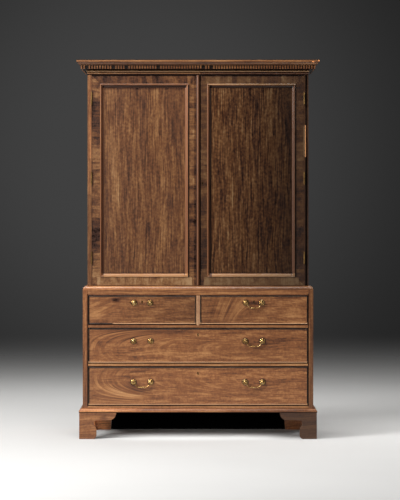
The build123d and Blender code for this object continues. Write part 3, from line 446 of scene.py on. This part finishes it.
def poresAndPaintedLight(tree, place, poreDepth, wood):
    # what multiplies the figure's colour: pores, a gradient across the front, and painted highlights and
    # painted shade on arrises and in recesses
    tone = wood.get("tone", 1.0)
    dark = addNode(tree, "ShaderNodeMath", {"operation": "MULTIPLY_ADD", 1: -oldPolish["poreDark"] * tone,
                                            2: tone}, {0: poreDepth})
    if "fade" in wood:
        fromX, toX, leftTone, rightTone = wood["fade"]
        parts = addNode(tree, "ShaderNodeSeparateXYZ", {}, {0: place}).outputs
        fade = addNode(tree, "ShaderNodeMapRange", {1: fromX / 1000, 2: toX / 1000, 3: leftTone,
                                                    4: rightTone}, {0: parts[0]})
        if "ends" in wood:
            # the gradient lies on the front; the ends of the case take a factor of their own
            front, back = oldPolish["frontEnds"]
            depth = addNode(tree, "ShaderNodeMapRange", {"interpolation_type": "SMOOTHSTEP", 1: front / 1000,
                                                         2: back / 1000}, {0: parts[1]})
            fade = addNode(tree, "ShaderNodeMix", {"data_type": "FLOAT", 3: wood["ends"]},
                           {0: depth, 2: fade})
        dark = addNode(tree, "ShaderNodeMath", {"operation": "MULTIPLY"}, {0: dark, 1: fade})
    for arrisLight in wood.get("paintedArrisLight", []):
        # painted highlight along an arris, or painted shade where the tone is below 1
        mask = markMask(tree, place, arrisLight)
        lift = addNode(tree, "ShaderNodeMapRange", {3: 1, 4: arrisLight["tone"]}, {0: mask})
        dark = addNode(tree, "ShaderNodeMath", {"operation": "MULTIPLY"}, {0: dark, 1: lift})
    if "recess" in wood:
        dark = recessShade(tree, place, dark, wood["recess"])
    return dark


def beadOver(tree, place, body, bead):
    # the cockbead stands proud of the drawer front, so depth alone tells it apart
    x, y, z = addNode(tree, "ShaderNodeSeparateXYZ", {}, {0: place}).outputs
    proud = addNode(tree, "ShaderNodeMath", {"operation": "LESS_THAN", 1: bead["front"] / 1000}, {0: y})
    grain = addNode(tree, "ShaderNodeTexNoise", {"Scale": 1000 / bead["grain"], "Detail": 3},
                    {"Vector": place})
    # painted light: a painted highlight along the bead's foot and painted shade over its top and sides
    highlightTo, shadedFrom = [(bead["low"] + rise) / 1000 for rise in bead["shadeRise"]]
    height = addNode(tree, "ShaderNodeMapRange", {1: highlightTo, 2: shadedFrom}, {0: z})
    blur = bead["blur"]
    soft = addNode(tree, "ShaderNodeMath", {"operation": "MULTIPLY_ADD", 1: blur, 2: -blur / 2}, {0: grain})
    height = addNode(tree, "ShaderNodeMath", {"operation": "ADD", "use_clamp": True}, {0: height, 1: soft})
    if "dullTo" in bead:
        # towards this end the bead has no painted highlight and is as dark as its top
        dull = addNode(tree, "ShaderNodeMapRange", {1: (bead["dullTo"] - bead["dullRun"]) / 1000,
                                                    2: bead["dullTo"] / 1000, 3: 1, 4: 0}, {0: x})
        height = addNode(tree, "ShaderNodeMath", {"operation": "MAXIMUM"}, {0: height, 1: dull})
    colour = addNode(tree, "ShaderNodeMix", {"data_type": "RGBA", 6: linearColour(bead["highlight"]),
                                             7: linearColour(bead["shaded"])}, {0: height}).outputs[2]
    return addNode(tree, "ShaderNodeMix", {"data_type": "RGBA"}, {0: proud, 6: body, 7: colour}).outputs[2]


def mahogany(name, wood):
    # old mahogany under wax and polish: red-brown with darker bands, fine streaks and short dark pores
    material, tree, shader = newMaterial(name, {"IOR": oldPolish["ior"],
                                                "Coat Roughness": oldPolish["coatRoughness"]})
    place, axes, total, broad = figureTone(tree, wood)
    pores = grainLayer(tree, axes, *oldPolish["poreSize"], 2)
    poreFrom, poreTo = oldPolish["poreRange"]
    poreDepth = addNode(tree, "ShaderNodeMapRange", {1: poreFrom, 2: poreTo, 3: 0, 4: 1}, {0: pores})
    dark = poresAndPaintedLight(tree, place, poreDepth, wood)
    colours = addNode(tree, "ShaderNodeValToRGB", {}, {0: total})
    ramp = colours.color_ramp
    stops = wood.get("colours", oldPolish["colours"])
    ramp.elements[0].position, ramp.elements[0].color = 0.0, linearColour(stops[0])
    ramp.elements[1].position, ramp.elements[1].color = 1.0, linearColour(stops[-1])
    for i, code in enumerate(stops[1:-1], 1):
        ramp.elements.new(i / (len(stops) - 1)).color = linearColour(code)
    body = addNode(tree, "ShaderNodeHueSaturation", {}, {"Color": colours, "Value": dark}).outputs[0]
    if "bead" in wood:
        body = beadOver(tree, place, body, wood["bead"])
    tree.links.new(body, shader.inputs["Base Color"])
    finish = {**oldPolish, **wood}
    low, high = finish["roughness"]
    gloss = addNode(tree, "ShaderNodeMapRange", {3: high, 4: low}, {0: broad})
    tree.links.new(gloss.outputs[0], shader.inputs["Roughness"])
    for socket, dull, bright in (("Specular IOR Level", finish["matteShine"], finish["shine"]),
                                 ("Coat Weight", 0, finish["coat"])):
        clean = addNode(tree, "ShaderNodeMapRange", {1: 0, 2: finish["matteBelow"], 3: dull, 4: bright},
                        {0: total})
        tree.links.new(clean.outputs[0], shader.inputs[socket])
    sunk = addNode(tree, "ShaderNodeMath", {"operation": "MULTIPLY", 1: -1}, {0: poreDepth})
    bump = addNode(tree, "ShaderNodeBump", {"Strength": 0.25, "Distance": finish["poreBump"]},
                   {"Height": sunk})
    tree.links.new(bump.outputs[0], shader.inputs["Normal"])
    return material


# Doors

# each panel is one wide board, straight-grained, with fine streaks
panels = {
    "left": {"layers": ((40, 300, 2, 0.38), (22, 100, 3, 0.34), (9, 180, 4, 0.45), (4, 140, 4, 0.95),
                        (11, 14, 3, 0.6)),
             "start": (-280, 0, 1350), "wander": 40, "drift": 454.5, "ripple": (111.1, 8), "tone": 0.43,
             # the first mark is a painted shadow under the top moulding
             "marks": ({"at": (-281, 1837, 430, 12), "soft": 3, "amount": -0.16},
                       {"at": (-262, 1425, 50, 330), "amount": -0.10, "core": 0.0},
                       {"at": (-262, 1105, 36, 110), "amount": -0.18, "core": 0.0},
                       {"at": (-445, 1330, 110, 1100), "amount": 0.15, "core": 0.0},
                       {"at": (-180, 1150, 70, 800), "amount": 0.12, "core": 0.0},
                       {"at": (-530, 1350, 90, 1200), "amount": -0.06, "core": 0.0})},
    # painted shade: the right panel is a much darker copy of the left, and its fade is a painted gradient
    # that leaves it lighter at its left edge
    "right": {"layers": ((40, 300, 2, 0.42), (22, 100, 3, 0.36), (9, 180, 4, 0.6), (4, 140, 4, 1.5),
                         (11, 14, 3, 0.9)),
              "start": (312, 0, 1350), "wander": 40, "drift": 434.8, "ripple": (111.1, 8), "tone": 0.187,
              "coat": 0.1, "shine": 0.25, "fade": (60, 520, 1.56, 0.37),
              "marks": ({"at": (150, 1050, 190, 720), "amount": 0.14, "core": 0.0},
                        {"at": (370, 1150, 190, 700), "amount": -0.10, "core": 0.0})},
}
for side, wood in panels.items():
    dress(mahogany(side + "PanelMahogany", wood), side + "_door_panel")

doorEdges = {"left": ((-558, 9), (803, 1906.5)), "right": ((10.2, 558), (803, 1906.5))}
crossLayers = ((20, 110, 2, 0.6), (6, 70, 5, 0.62), (44, 44, 2, 0.8), (9, 9, 2, 0.6))
# short pieces of veneer laid side by side, some much darker; the thin dark lines along the door edges,
# beside the mouldings and by the astragal are painted shade, the top one a painted shadow of the cornice,
# and the light line at the right door's outer edge is a painted highlight; the right frame is a darker copy
# with a painted gradient across it
frames = {
    "left": {"layers": crossLayers, "pieces": (235, 0.24), "tone": 0.42, "wander": 44,
             "marks": ({"at": (-533, 1655, 50, 232), "soft": 0.5, "amount": -0.2},
                       {"at": (-533, 1075, 50, 170), "soft": 2.5, "amount": -0.17},
                       {"at": (-280, 825, 500, 44), "soft": 2.2, "amount": 0.33},
                       {"at": (-533, 910, 50, 130), "soft": 5, "amount": 0.28},
                       {"at": (-20, 1180, 56, 110), "soft": 8.4, "amount": -0.24},
                       {"at": (-556, 1350, 7, 1110), "soft": 2.1, "amount": -0.12, "front": -230},
                       {"at": (-280, 1905, 560, 8), "soft": 2, "amount": -0.5, "front": -230},
                       {"at": (-49.5, 1350, 7, 1010), "soft": 1.5, "amount": -0.7},
                       {"at": (-15, 1350, 14, 1110), "soft": 4, "amount": -0.24},
                       {"at": (-22, 1352, 9, 30), "soft": 1.4, "amount": 0.16},
                       {"at": (-22, 1352, 24, 8), "soft": 1.2, "amount": 0.12})},
    "right": {"layers": crossLayers, "pieces": (235, 0.24), "tone": 0.215, "fade": (20, 540, 1.1, 0.6),
              "marks": ({"at": (535, 1585, 50, 70), "soft": 2.5, "amount": -0.2},
                        {"at": (280, 1905, 560, 8), "soft": 2, "amount": -0.5, "front": -230},
                        {"at": (511.8, 1350, 7, 1010), "soft": 1.5, "amount": -0.8},
                        {"at": (12, 1350, 8, 1110), "soft": 2.4, "amount": -0.6, "front": -230},
                        {"at": (556, 1560, 6, 160), "soft": 1.5, "amount": 0.7},
                        {"at": (280, 825, 500, 44), "soft": 2.2, "amount": 0.36},
                        {"at": (280, 1882, 480, 36), "soft": 2, "amount": 0.17})},
}
trimLayers = ((14, 700, 2, 0.3), (4, 300, 3, 0.3))
# mouldings run with the grain; painted highlights on the beads and along the bottom mouldings, painted shade
# in the coves and quirks and along their outer edges; the right trim is a darker copy with a painted
# gradient
trims = {
    "left": {"tone": 0.78, "layers": trimLayers, "lengthwise": True,
             "marks": ({"at": (-501.5, 1350, 17, 1010), "soft": 1.9, "amount": -0.22},
                       {"at": (-281, 1847.5, 440, 15), "soft": 1.9, "amount": -0.4},
                       {"at": (-280, 857, 460, 20), "soft": 2, "amount": 0.26},
                       {"at": (-280, 867, 430, 6), "soft": 1.5, "amount": -0.4},
                       {"at": (-280, 844, 460, 7), "soft": 1.5, "amount": -0.5},
                       {"at": (-49.5, 1350, 8, 1010), "soft": 1.5, "amount": -0.7},
                       {"at": (-71, 1350, 6, 990), "soft": 1.5, "amount": -0.35})},
    "right": {"tone": 0.5, "layers": trimLayers, "lengthwise": True, "fade": (60, 520, 1.3, 0.5),
              "marks": ({"at": (66, 1350, 17, 1010), "soft": 1.9, "amount": -0.42},
                        {"at": (281, 1846, 440, 14), "soft": 1.9, "amount": -0.4},
                        {"at": (284, 867, 430, 6), "soft": 1.5, "amount": -0.4},
                        {"at": (284, 844, 460, 7), "soft": 1.5, "amount": -0.4},
                        {"at": (511.8, 1350, 8, 1010), "soft": 1.5, "amount": -0.8},
                        {"at": (490.5, 1350, 6, 990), "soft": 1.5, "amount": -0.5},
                        {"at": (284, 857, 460, 20), "soft": 2, "amount": 0.3},
                        {"at": (284, 1859, 460, 7), "soft": 1.4, "amount": 0.4})}
}
for side in ("left", "right"):
    frames[side]["door"] = trims[side]["door"] = doorEdges[side]
    dress(mahogany(side + "CrossbandedMahogany", frames[side]), side + "_door_frame")
    dress(mahogany(side + "MouldingMahogany", trims[side]), side + "_door_moulding")
# painted shade down both sides of the astragal, which leaves a painted highlight along its crown
astragal = {"tone": 0.6, "layers": ((14, 700, 2, 0.16), (4, 300, 3, 0.16)), "start": (0, 0, 1350),
            "marks": ({"at": (-9, 1350, 9, 1120), "soft": 2.5, "amount": -0.4},
                      {"at": (5, 1350, 8, 1120), "soft": 2.5, "amount": -0.2})}
dress(mahogany("astragalMahogany", astragal), "left_door_astragal")
print("doors polished")


# Drawers

# veneer, most of it with a flame: light and dark lines that arch out from one end and fade into plain grain
drawerLayers = ((24, 190, 2, 0.46), (7, 80, 5, 0.62), (3, 34, 5, 0.5), (9, 9, 2, 0.36))
flameLayers = ((22, 170, 1, 1.3), (8, 100, 4, 0.9), (3, 50, 5, 0.36), (9, 9, 2, 0.3))
cockbead = {"front": -256.3, "highlight": "#c89a70", "shaded": "#1a0e08", "grain": 16.67, "blur": 0.5,
            "shadeRise": (4, 9), "dullRun": 12}     # painted highlight up to 4 mm from its foot, painted shade from 9 mm up
drawerWoods = {
    "drawer_top_left": {"tone": 0.7, "start": (-293, 0, 676), "wander": 18, "fade": (-560, 0, 1.15, 0.8),
                        "flame": {"start": (-500, 0, 690), "turn": -24, "grain": "X", "wander": 40,
                                  "patches": ({"at": (-510, 680, 270, 200), "core": 0.0, "amount": 0.6},)},
                        "marks": ({"at": (-430, 726, 60, 34), "amount": -0.34, "core": 0.1},
                                  {"at": (-400, 735, 150, 22), "amount": -0.16, "core": 0.0},
                                  {"at": (-530, 650, 150, 100), "amount": 0.12, "core": 0.0})},
    "drawer_top_right": {"tone": 0.8, "start": (293, 0, 676), "wander": 18, "fade": (0, 560, 0.82, 1.02),
                         "flame": {"start": (300, 0, 790), "turn": 90, "bend": 0.0066, "flatten": 4000,
                                   "wander": 36,
                                   "patches": ({"at": (190, 685, 420, 240), "core": 0.1, "amount": 0.6},)},
                         "marks": ({"at": (500, 650, 240, 100), "amount": 0.16, "core": 0.0},
                                   {"at": (80, 670, 90, 150), "amount": -0.14, "core": 0.0},
                                   {"at": (296, 712, 110, 50), "amount": -0.24, "core": 0.1})},
    "drawer_middle": {"tone": 0.9, "start": (0, 0, 490), "wander": 26,
                      "flame": {"start": (-548, 0, 470), "bend": 0.008, "flatten": 110, "wander": 46,
                                "patches": ({"at": (-350, 545, 520, 150), "core": 0.2, "amount": 1.0},
                                            {"at": (-529, 492, 170, 170), "core": 0.1, "amount": 0.6},
                                            {"at": (-460, 440, 260, 90), "core": 0.0, "amount": 0.3},
                                            {"at": (-200, 500, 320, 150), "core": 0.0, "amount": 0.5},
                                            {"at": (90, 485, 760, 190), "core": 0.0, "amount": 0.22})},
                      "marks": ({"at": (-110, 562, 460, 44), "amount": -0.22, "core": 0.0},
                                {"at": (-510, 488, 50, 60), "amount": -0.2, "core": 0.0},
                                {"at": (400, 500, 420, 150), "amount": -0.07, "core": 0.0},
                                {"at": (-80, 440, 760, 80), "amount": 0.09, "core": 0.0})},
    "drawer_bottom": {"tone": 1.05, "start": (0, 0, 280), "wander": 30, "fade": (-560, 60, 0.84, 1.0),
                      "flame": {"start": (-565, 0, 318), "bend": 0.006, "flatten": 100, "wander": 46,
                                "patches": ({"at": (-400, 240, 380, 170), "core": 0.25, "amount": 1.0},
                                            {"at": (-430, 350, 360, 70), "core": 0.1, "amount": 0.55},
                                            {"at": (-510, 300, 200, 140), "core": 0.1, "amount": 0.6},
                                            {"at": (-200, 300, 240, 160), "core": 0.0, "amount": 0.35},
                                            {"at": (80, 275, 800, 210), "core": 0.0, "amount": 0.3})},
                      "marks": ({"at": (-340, 350, 260, 20), "amount": -0.18, "core": 0.0, "turn": -6},
                                {"at": (-330, 215, 300, 60), "amount": 0.07, "core": 0.0},
                                {"at": (420, 330, 300, 70), "amount": 0.06, "core": 0.0})},
}
beads = {"drawer_top_left": {"low": 602, "dullTo": -440}, "drawer_top_right": {"low": 602},
         "drawer_middle": {"low": 399}, "drawer_bottom": {"low": 178}}
# centres of the handles, half the space between their posts, and the height of the posts
posts = {"drawer_top_left": ((-293,), 42, 713), "drawer_top_right": ((293,), 42, 713),
         "drawer_middle": ((-293, 293), 45, 512), "drawer_bottom": ((-293, 293), 45.5, 297.5)}
postGrime = {"size": (44, 42), "amount": -0.48, "core": 0.55}
for name, wood in drawerWoods.items():
    centres, half, level = posts[name]
    # polish and dirt gather round the brasses, where the cloth doesn't reach
    wood["marks"] += tuple({**postGrime, "at": (x + side * half, level, *postGrime["size"])}
                           for x in centres for side in (-1, 1))
    wood.update({"layers": drawerLayers, "grain": "X", "bead": {**cockbead, **beads[name]}})
    wood["flame"]["layers"] = flameLayers
    dress(mahogany(name.title().replace("_", "") + "Mahogany", wood), name + "_front")
print("drawer fronts polished")


# Cases, mouldings and feet

# solid wood with plain straight grain
plainLayers = ((24, 400, 2, 0.5), (6, 160, 5, 0.6), (2.4, 70, 4, 0.3), (12, 12, 2, 0.3))


def arrisLine(x, z, width, height, amount):
    # a soft line along an arris: painted shade, or a painted highlight where the amount is above 0
    return {"at": (x, z, width, height), "soft": min(width, height) / 4, "amount": amount}


# painted shade darkens the cracks round the drawers, and painted highlights lighten the rails between them
drawerEdges = {176: -0.8, 377.5: -0.8, 397: -0.8, 579: -0.8, 600: -0.8, 751: -0.3}
railShade = [arrisLine(0, edge, 1170, 8, amount) for edge, amount in drawerEdges.items()]
railHighlights = [arrisLine(0, 388, 1170, 17, 0.21), arrisLine(0, 166, 1170, 16, 0.12),
            arrisLine(0, 765, 1170, 18, 0.1)]
sideShade = [arrisLine(x, 465, 11, 590, -0.7) for x in (-576, 576)]
cases = {
    "railMahogany": {"grain": "X", "tone": 0.8, "marks": railShade + railHighlights},
    "dividerMahogany": {"tone": 1.04, "colours": ("#38221a", "#76503a", "#a67e5c", "#c9a47c", "#dfc29c")},
    # painted light on the case sides: each fade is painted shade that darkens the fronts towards the right,
    # the dark lines are painted shade by the drawers and the right door, and the light line at the right
    # door is a painted highlight; the upper side's arris lights are a painted glint there, a painted
    # highlight high on the left and painted shade lower down on the left
    "lowerSideMahogany": {"tone": 0.92, "marks": sideShade, "fade": (-500, 500, 1.0, 0.6), "ends": 0.9},
    "upperSideMahogany": {"tone": 0.6, "fade": (-500, 500, 1.0, 0.25), "ends": 1.2,
                          "marks": [arrisLine(569, 1350, 15, 1120, -0.6),
                                    arrisLine(564.5, 1561, 8, 170, 0.5)],
                          "paintedArrisLight": [{"at": (564.2, 1561, 7, 170), "soft": 1.6, "tone": 6.4, "front": -230},
                                   {"at": (-566, 1580, 14, 220), "soft": 4, "tone": 1.5, "front": -230},
                                   {"at": (-568, 1010, 40, 560), "soft": 12, "tone": 0.72, "front": -230}]},
    # painted shade: the waist and base mouldings darken towards the right, and the dark line under the base
    # moulding is a painted shadow
    "waistMahogany": {"grain": "X", "tone": 1.35, "fade": (-500, 500, 0.95, 0.36), "ends": 0.7},
    "baseMahogany": {"grain": "X", "tone": 1.6, "fade": (-500, 500, 1.0, 0.5), "ends": 0.6,
                     "marks": [arrisLine(0, 139, 1260, 6, -0.9)]},
    # painted light on the cornice: the dark lines are painted shade in the quirks and under the beads and
    # the teeth, the light lines and the oval on top are painted highlights on the beads and the top fillet,
    # and its two arris lights are painted glints at the right-hand end
    "corniceMahogany": {"grain": "X", "tone": 0.6,
                        "marks": [arrisLine(0, 1909, 1270, 10, -0.8), arrisLine(0, 1922.2, 1270, 4.5, -0.8),
                                  arrisLine(0, 1935, 1270, 9, -0.8), arrisLine(0, 1955.5, 1290, 5, -0.6),
                                  arrisLine(0, 1917.5, 1270, 5, 0.25), arrisLine(0, 1927.5, 1270, 5, 0.5),
                                  arrisLine(0, 1982.5, 1300, 8, 0.1), arrisLine(330, 1918.5, 640, 9, -0.36),
                                  arrisLine(330, 1927.5, 640, 5, 0.3),
                                  {"at": (0, 1985.5, 1300, 5), "soft": 0.8, "amount": -0.9, "front": -285},
                                  {"at": (20, 1982, 700, 30), "core": 0.1, "amount": 0.14}],
                        "paintedArrisLight": [{"at": (602, 1974, 14, 9), "soft": 3, "tone": 7, "front": -262},
                                 {"at": (632, 1980, 9, 9), "soft": 3, "tone": 5, "front": -262}]},
    # painted shade on the ground behind the teeth
    "dentilMahogany": {"grain": "X", "tone": 0.66,
                       "recess": {"front": -260.5, "back": 300, "side": 608.5, "tone": 0.05}},
    # painted shade: the front feet darken towards the right, and the oval on the left foot is a painted
    # shadow on its inner side
    "footMahogany": {"grain": "X", "tone": 0.95, "wander": 60, "fade": (-560, 500, 1.0, 0.27), "ends": 0.9,
                     "marks": [{"at": (-497, 108, 70, 46), "core": 0.0, "amount": -0.24}]},
    # painted light: paler under the chest than on the outer faces, palest at the left end
    "rearFootMahogany": {"grain": "X", "tone": 0.9, "wander": 60, "fade": (-545, -470, 2.2, 1.0),
                         "recess": {"front": 0, "back": 280, "side": 590, "tone": 2.2}},
    "trayMahogany": {"grain": "X", "tone": 0.95, "coat": 0.05, "roughness": (0.5, 0.62)},
}
caseParts = {
    "railMahogany": ("drawer_rails",),
    "dividerMahogany": ("drawer_divider",),
    "lowerSideMahogany": ("lower_side_left", "lower_side_right"),
    "upperSideMahogany": ("upper_side_left", "upper_side_right"),
    "waistMahogany": ("waist_moulding",),
    "baseMahogany": ("base_moulding",),
    "corniceMahogany": ("cornice_moulding",),
    "dentilMahogany": ("cornice_dentils",),
    "footMahogany": ("foot_front_left", "foot_front_right"),
    "rearFootMahogany": ("foot_rear_left", "foot_rear_right"),
    "trayMahogany": ("tray_1", "tray_2", "tray_3", "tray_4"),
}
for name, wood in cases.items():
    wood["layers"] = plainLayers
    dress(mahogany(name, wood), *caseParts[name])

# bare wood, never polished: quartered oak is pale and straight with short flecks, deal is yellower with
# broad soft bands
deal = {"layers": ((30, 700, 2, 0.5), (8, 400, 3, 0.5), (120, 60, 1, 0.2)), "tone": 0.9,
        "colours": ("#4a3524", "#745338", "#98754f", "#b8976c"), "coat": 0.0, "roughness": (0.65, 0.8)}
bareWoods = {
    "quarteredOak": {"layers": ((40, 600, 2, 0.3), (5, 260, 3, 0.5), (16, 9, 1, 0.2)), "grain": "Y",
                     "colours": ("#5e4630", "#86684a", "#a98a66", "#c9ad86"), "coat": 0.0,
                     "roughness": (0.6, 0.75)},
    "dryDeal": {**deal, "pieces": (280, 0.16)},
    "dealBoards": {**deal, "grain": "X"},
}
bareParts = {
    "quarteredOak": ("drawer_top_left_box", "drawer_top_right_box", "drawer_middle_box",
                     "drawer_bottom_box"),
    "dryDeal": ("upper_back_boards",),
    "dealBoards": ("lower_back_boards", "lower_top_board", "lower_bottom_board", "dust_boards",
                   "upper_top_board", "upper_bottom_board", "tray_runners"),
}
for name, wood in bareWoods.items():
    dress(mahogany(name, wood), *bareParts[name])
print("cases and bare wood done")


# Brass and iron

metals = {
    "handleBrass": {"bright": "#ead39c", "dull": "#b48f58", "tarnish": "#42301c", "rough": (0.32, 0.21),
                    "front": -240, "keyholes": ((-293.3, 719, 9, 18), (293.3, 719, 9, 18), (0, 547, 9, 18),
                                                (0, 345.5, 9, 18))},
    "hingeBrass": {"bright": "#86693f", "dull": "#6b5231", "tarnish": "#46341e", "rough": (0.6, 0.46),
                   "front": -225, "keyholes": ((24.2, 1343, 9, 18),)},
    "ironScrews": {"bright": "#7c7268", "dull": "#4e463f", "tarnish": "#2a2420", "rough": (0.5, 0.36)},
}
tarnish = {"size": 9.091, "stops": (0.3, 0.5, 0.75), "bump": 0.0002, "holeShade": "#0c0906"}


def oldMetal(name):
    # cast brass that lost its lacquer long ago, yellow with brown tarnish in soft patches; the iron is
    # grey-brown and duller, with darker patches of rust
    metal = metals[name]
    material, tree, shader = newMaterial(name, {"Metallic": 1})
    place = addNode(tree, "ShaderNodeTexCoord").outputs["Object"]
    clouds = addNode(tree, "ShaderNodeTexNoise", {"Scale": 1000 / tarnish["size"], "Detail": 5},
                     {"Vector": place})
    colours = addNode(tree, "ShaderNodeValToRGB", {}, {0: clouds})
    ramp = colours.color_ramp
    first, middle, last = tarnish["stops"]
    ramp.elements[0].position, ramp.elements[0].color = first, linearColour(metal["tarnish"])
    ramp.elements[1].position, ramp.elements[1].color = last, linearColour(metal["bright"])
    ramp.elements.new(middle).color = linearColour(metal["dull"])
    colour = colours.outputs[0]
    for at in metal.get("keyholes", []):
        # painted shade: the thin linings of the keyholes are painted near black, like the dark of the holes
        mask = markMask(tree, place, {"at": at, "soft": 1, "front": metal["front"]})
        colour = addNode(tree, "ShaderNodeMix", {"data_type": "RGBA", 7: linearColour(tarnish["holeShade"])},
                         {0: mask, 6: colour}).outputs[2]
    tree.links.new(colour, shader.inputs["Base Color"])
    high, low = metal["rough"]
    rough = addNode(tree, "ShaderNodeMapRange", {3: high, 4: low}, {0: clouds})
    tree.links.new(rough.outputs[0], shader.inputs["Roughness"])
    bump = addNode(tree, "ShaderNodeBump", {"Strength": 0.2, "Distance": tarnish["bump"]},
                   {"Height": clouds})
    tree.links.new(bump.outputs[0], shader.inputs["Normal"])
    return material


handles = [name for name in nodes if name.endswith("_brasses") or name.startswith("bail_")]
fittings = [name for name in nodes if name.endswith(("_bolt", "_hardware"))]
dress(oldMetal("handleBrass"), *handles)
dress(oldMetal("hingeBrass"), "hinge_case_leaves", *fittings)
print("brass done")


# Screws

screws = {
    "radius": 3.1,
    "height": 0.3,
    "slot": 0.8,
    "steps": 9,
    "hinges": {"levels": (947, 1366, 1784), "caseSide": 559, "doorSide": 558,
               "leaf": ((-226, -23), (-218, 0), (-226, 23))},
    "boltPlates": {"at": (-35.6, -208.5), "levels": (841.5, 1846.5), "rise": 28},
    "doorLock": {"sides": (17, 40), "depth": -210, "level": 1343, "rise": 29},
    "drawerLocks": {"drawer_top_left": (-293.3, 748.8), "drawer_top_right": (293.3, 748.8),
                    "drawer_middle": (0, 576.8), "drawer_bottom": (0, 375.3)},
    "drawerLockPlate": {"half": 24, "depth": -232, "drops": (7, 39)},
}
iron = oldMetal("ironScrews")
turns = random.Random(11)


def halfHead(shape, place, side, spin, outward):
    # one of the two D shapes left by the slot of a flush screw
    radius, slot = screws["radius"] / 1000, screws["slot"] / 2000
    steps = screws["steps"]
    gap = math.asin(slot / radius)
    turn = outward.to_track_quat("Z", "Y").to_matrix() @ Matrix.Rotation(spin, 3, "Z")
    foot = []
    for i in range(steps + 1):
        angle = gap + (math.pi - 2 * gap) * i / steps
        point = Vector((radius * math.cos(angle), side * radius * math.sin(angle), 0))
        foot.append(shape.verts.new(place + turn @ point))
    top = [shape.verts.new(vert.co + outward * screws["height"] / 1000) for vert in foot]
    shape.faces.new(foot)
    shape.faces.new(top)
    for i in range(len(foot)):
        j = (i + 1) % len(foot)
        shape.faces.new((foot[i], foot[j], top[j], top[i]))


def addScrews(name, body, outward, places):
    shape = bmesh.new()
    for place in places:
        spin = turns.uniform(0, math.pi)
        for side in (-1, 1):
            halfHead(shape, Vector(place) / 1000, side, spin, Vector(outward))
    bmesh.ops.recalc_face_normals(shape, faces=shape.faces)
    group = meshObject(name, shape, iron)
    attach(group, body)


hinges = screws["hinges"]
leafScrews = [(y, level + rise) for level in hinges["levels"] for y, rise in hinges["leaf"]]
for side, hand in (("left", -1), ("right", 1)):
    caseScrews = [(hand * hinges["caseSide"], y, z) for y, z in leafScrews]
    doorScrews = [(hand * hinges["doorSide"], y, z) for y, z in leafScrews]
    addScrews(side + "CaseHingeScrews", "case", (-hand, 0, 0), caseScrews)
    addScrews(side + "DoorHingeScrews", side + "_door", (hand, 0, 0), doorScrews)

plates = screws["boltPlates"]
plateScrews = [(*plates["at"], level + side * plates["rise"])
               for level in plates["levels"] for side in (-1, 1)]
addScrews("boltPlateScrews", "left_door", (0, 1, 0), plateScrews)

lock = screws["doorLock"]
lockScrews = [(x, lock["depth"], lock["level"] + side * lock["rise"])
              for x in lock["sides"] for side in (-1, 1)]
addScrews("doorLockScrews", "right_door", (0, 1, 0), lockScrews)

plate = screws["drawerLockPlate"]
for body, (x, top) in screws["drawerLocks"].items():
    corners = [(x + side * plate["half"], plate["depth"], top - drop)
               for side in (-1, 1) for drop in plate["drops"]]
    addScrews(body.title().replace("_", "") + "LockScrews", body, (0, 1, 0), corners)
print("screws done")
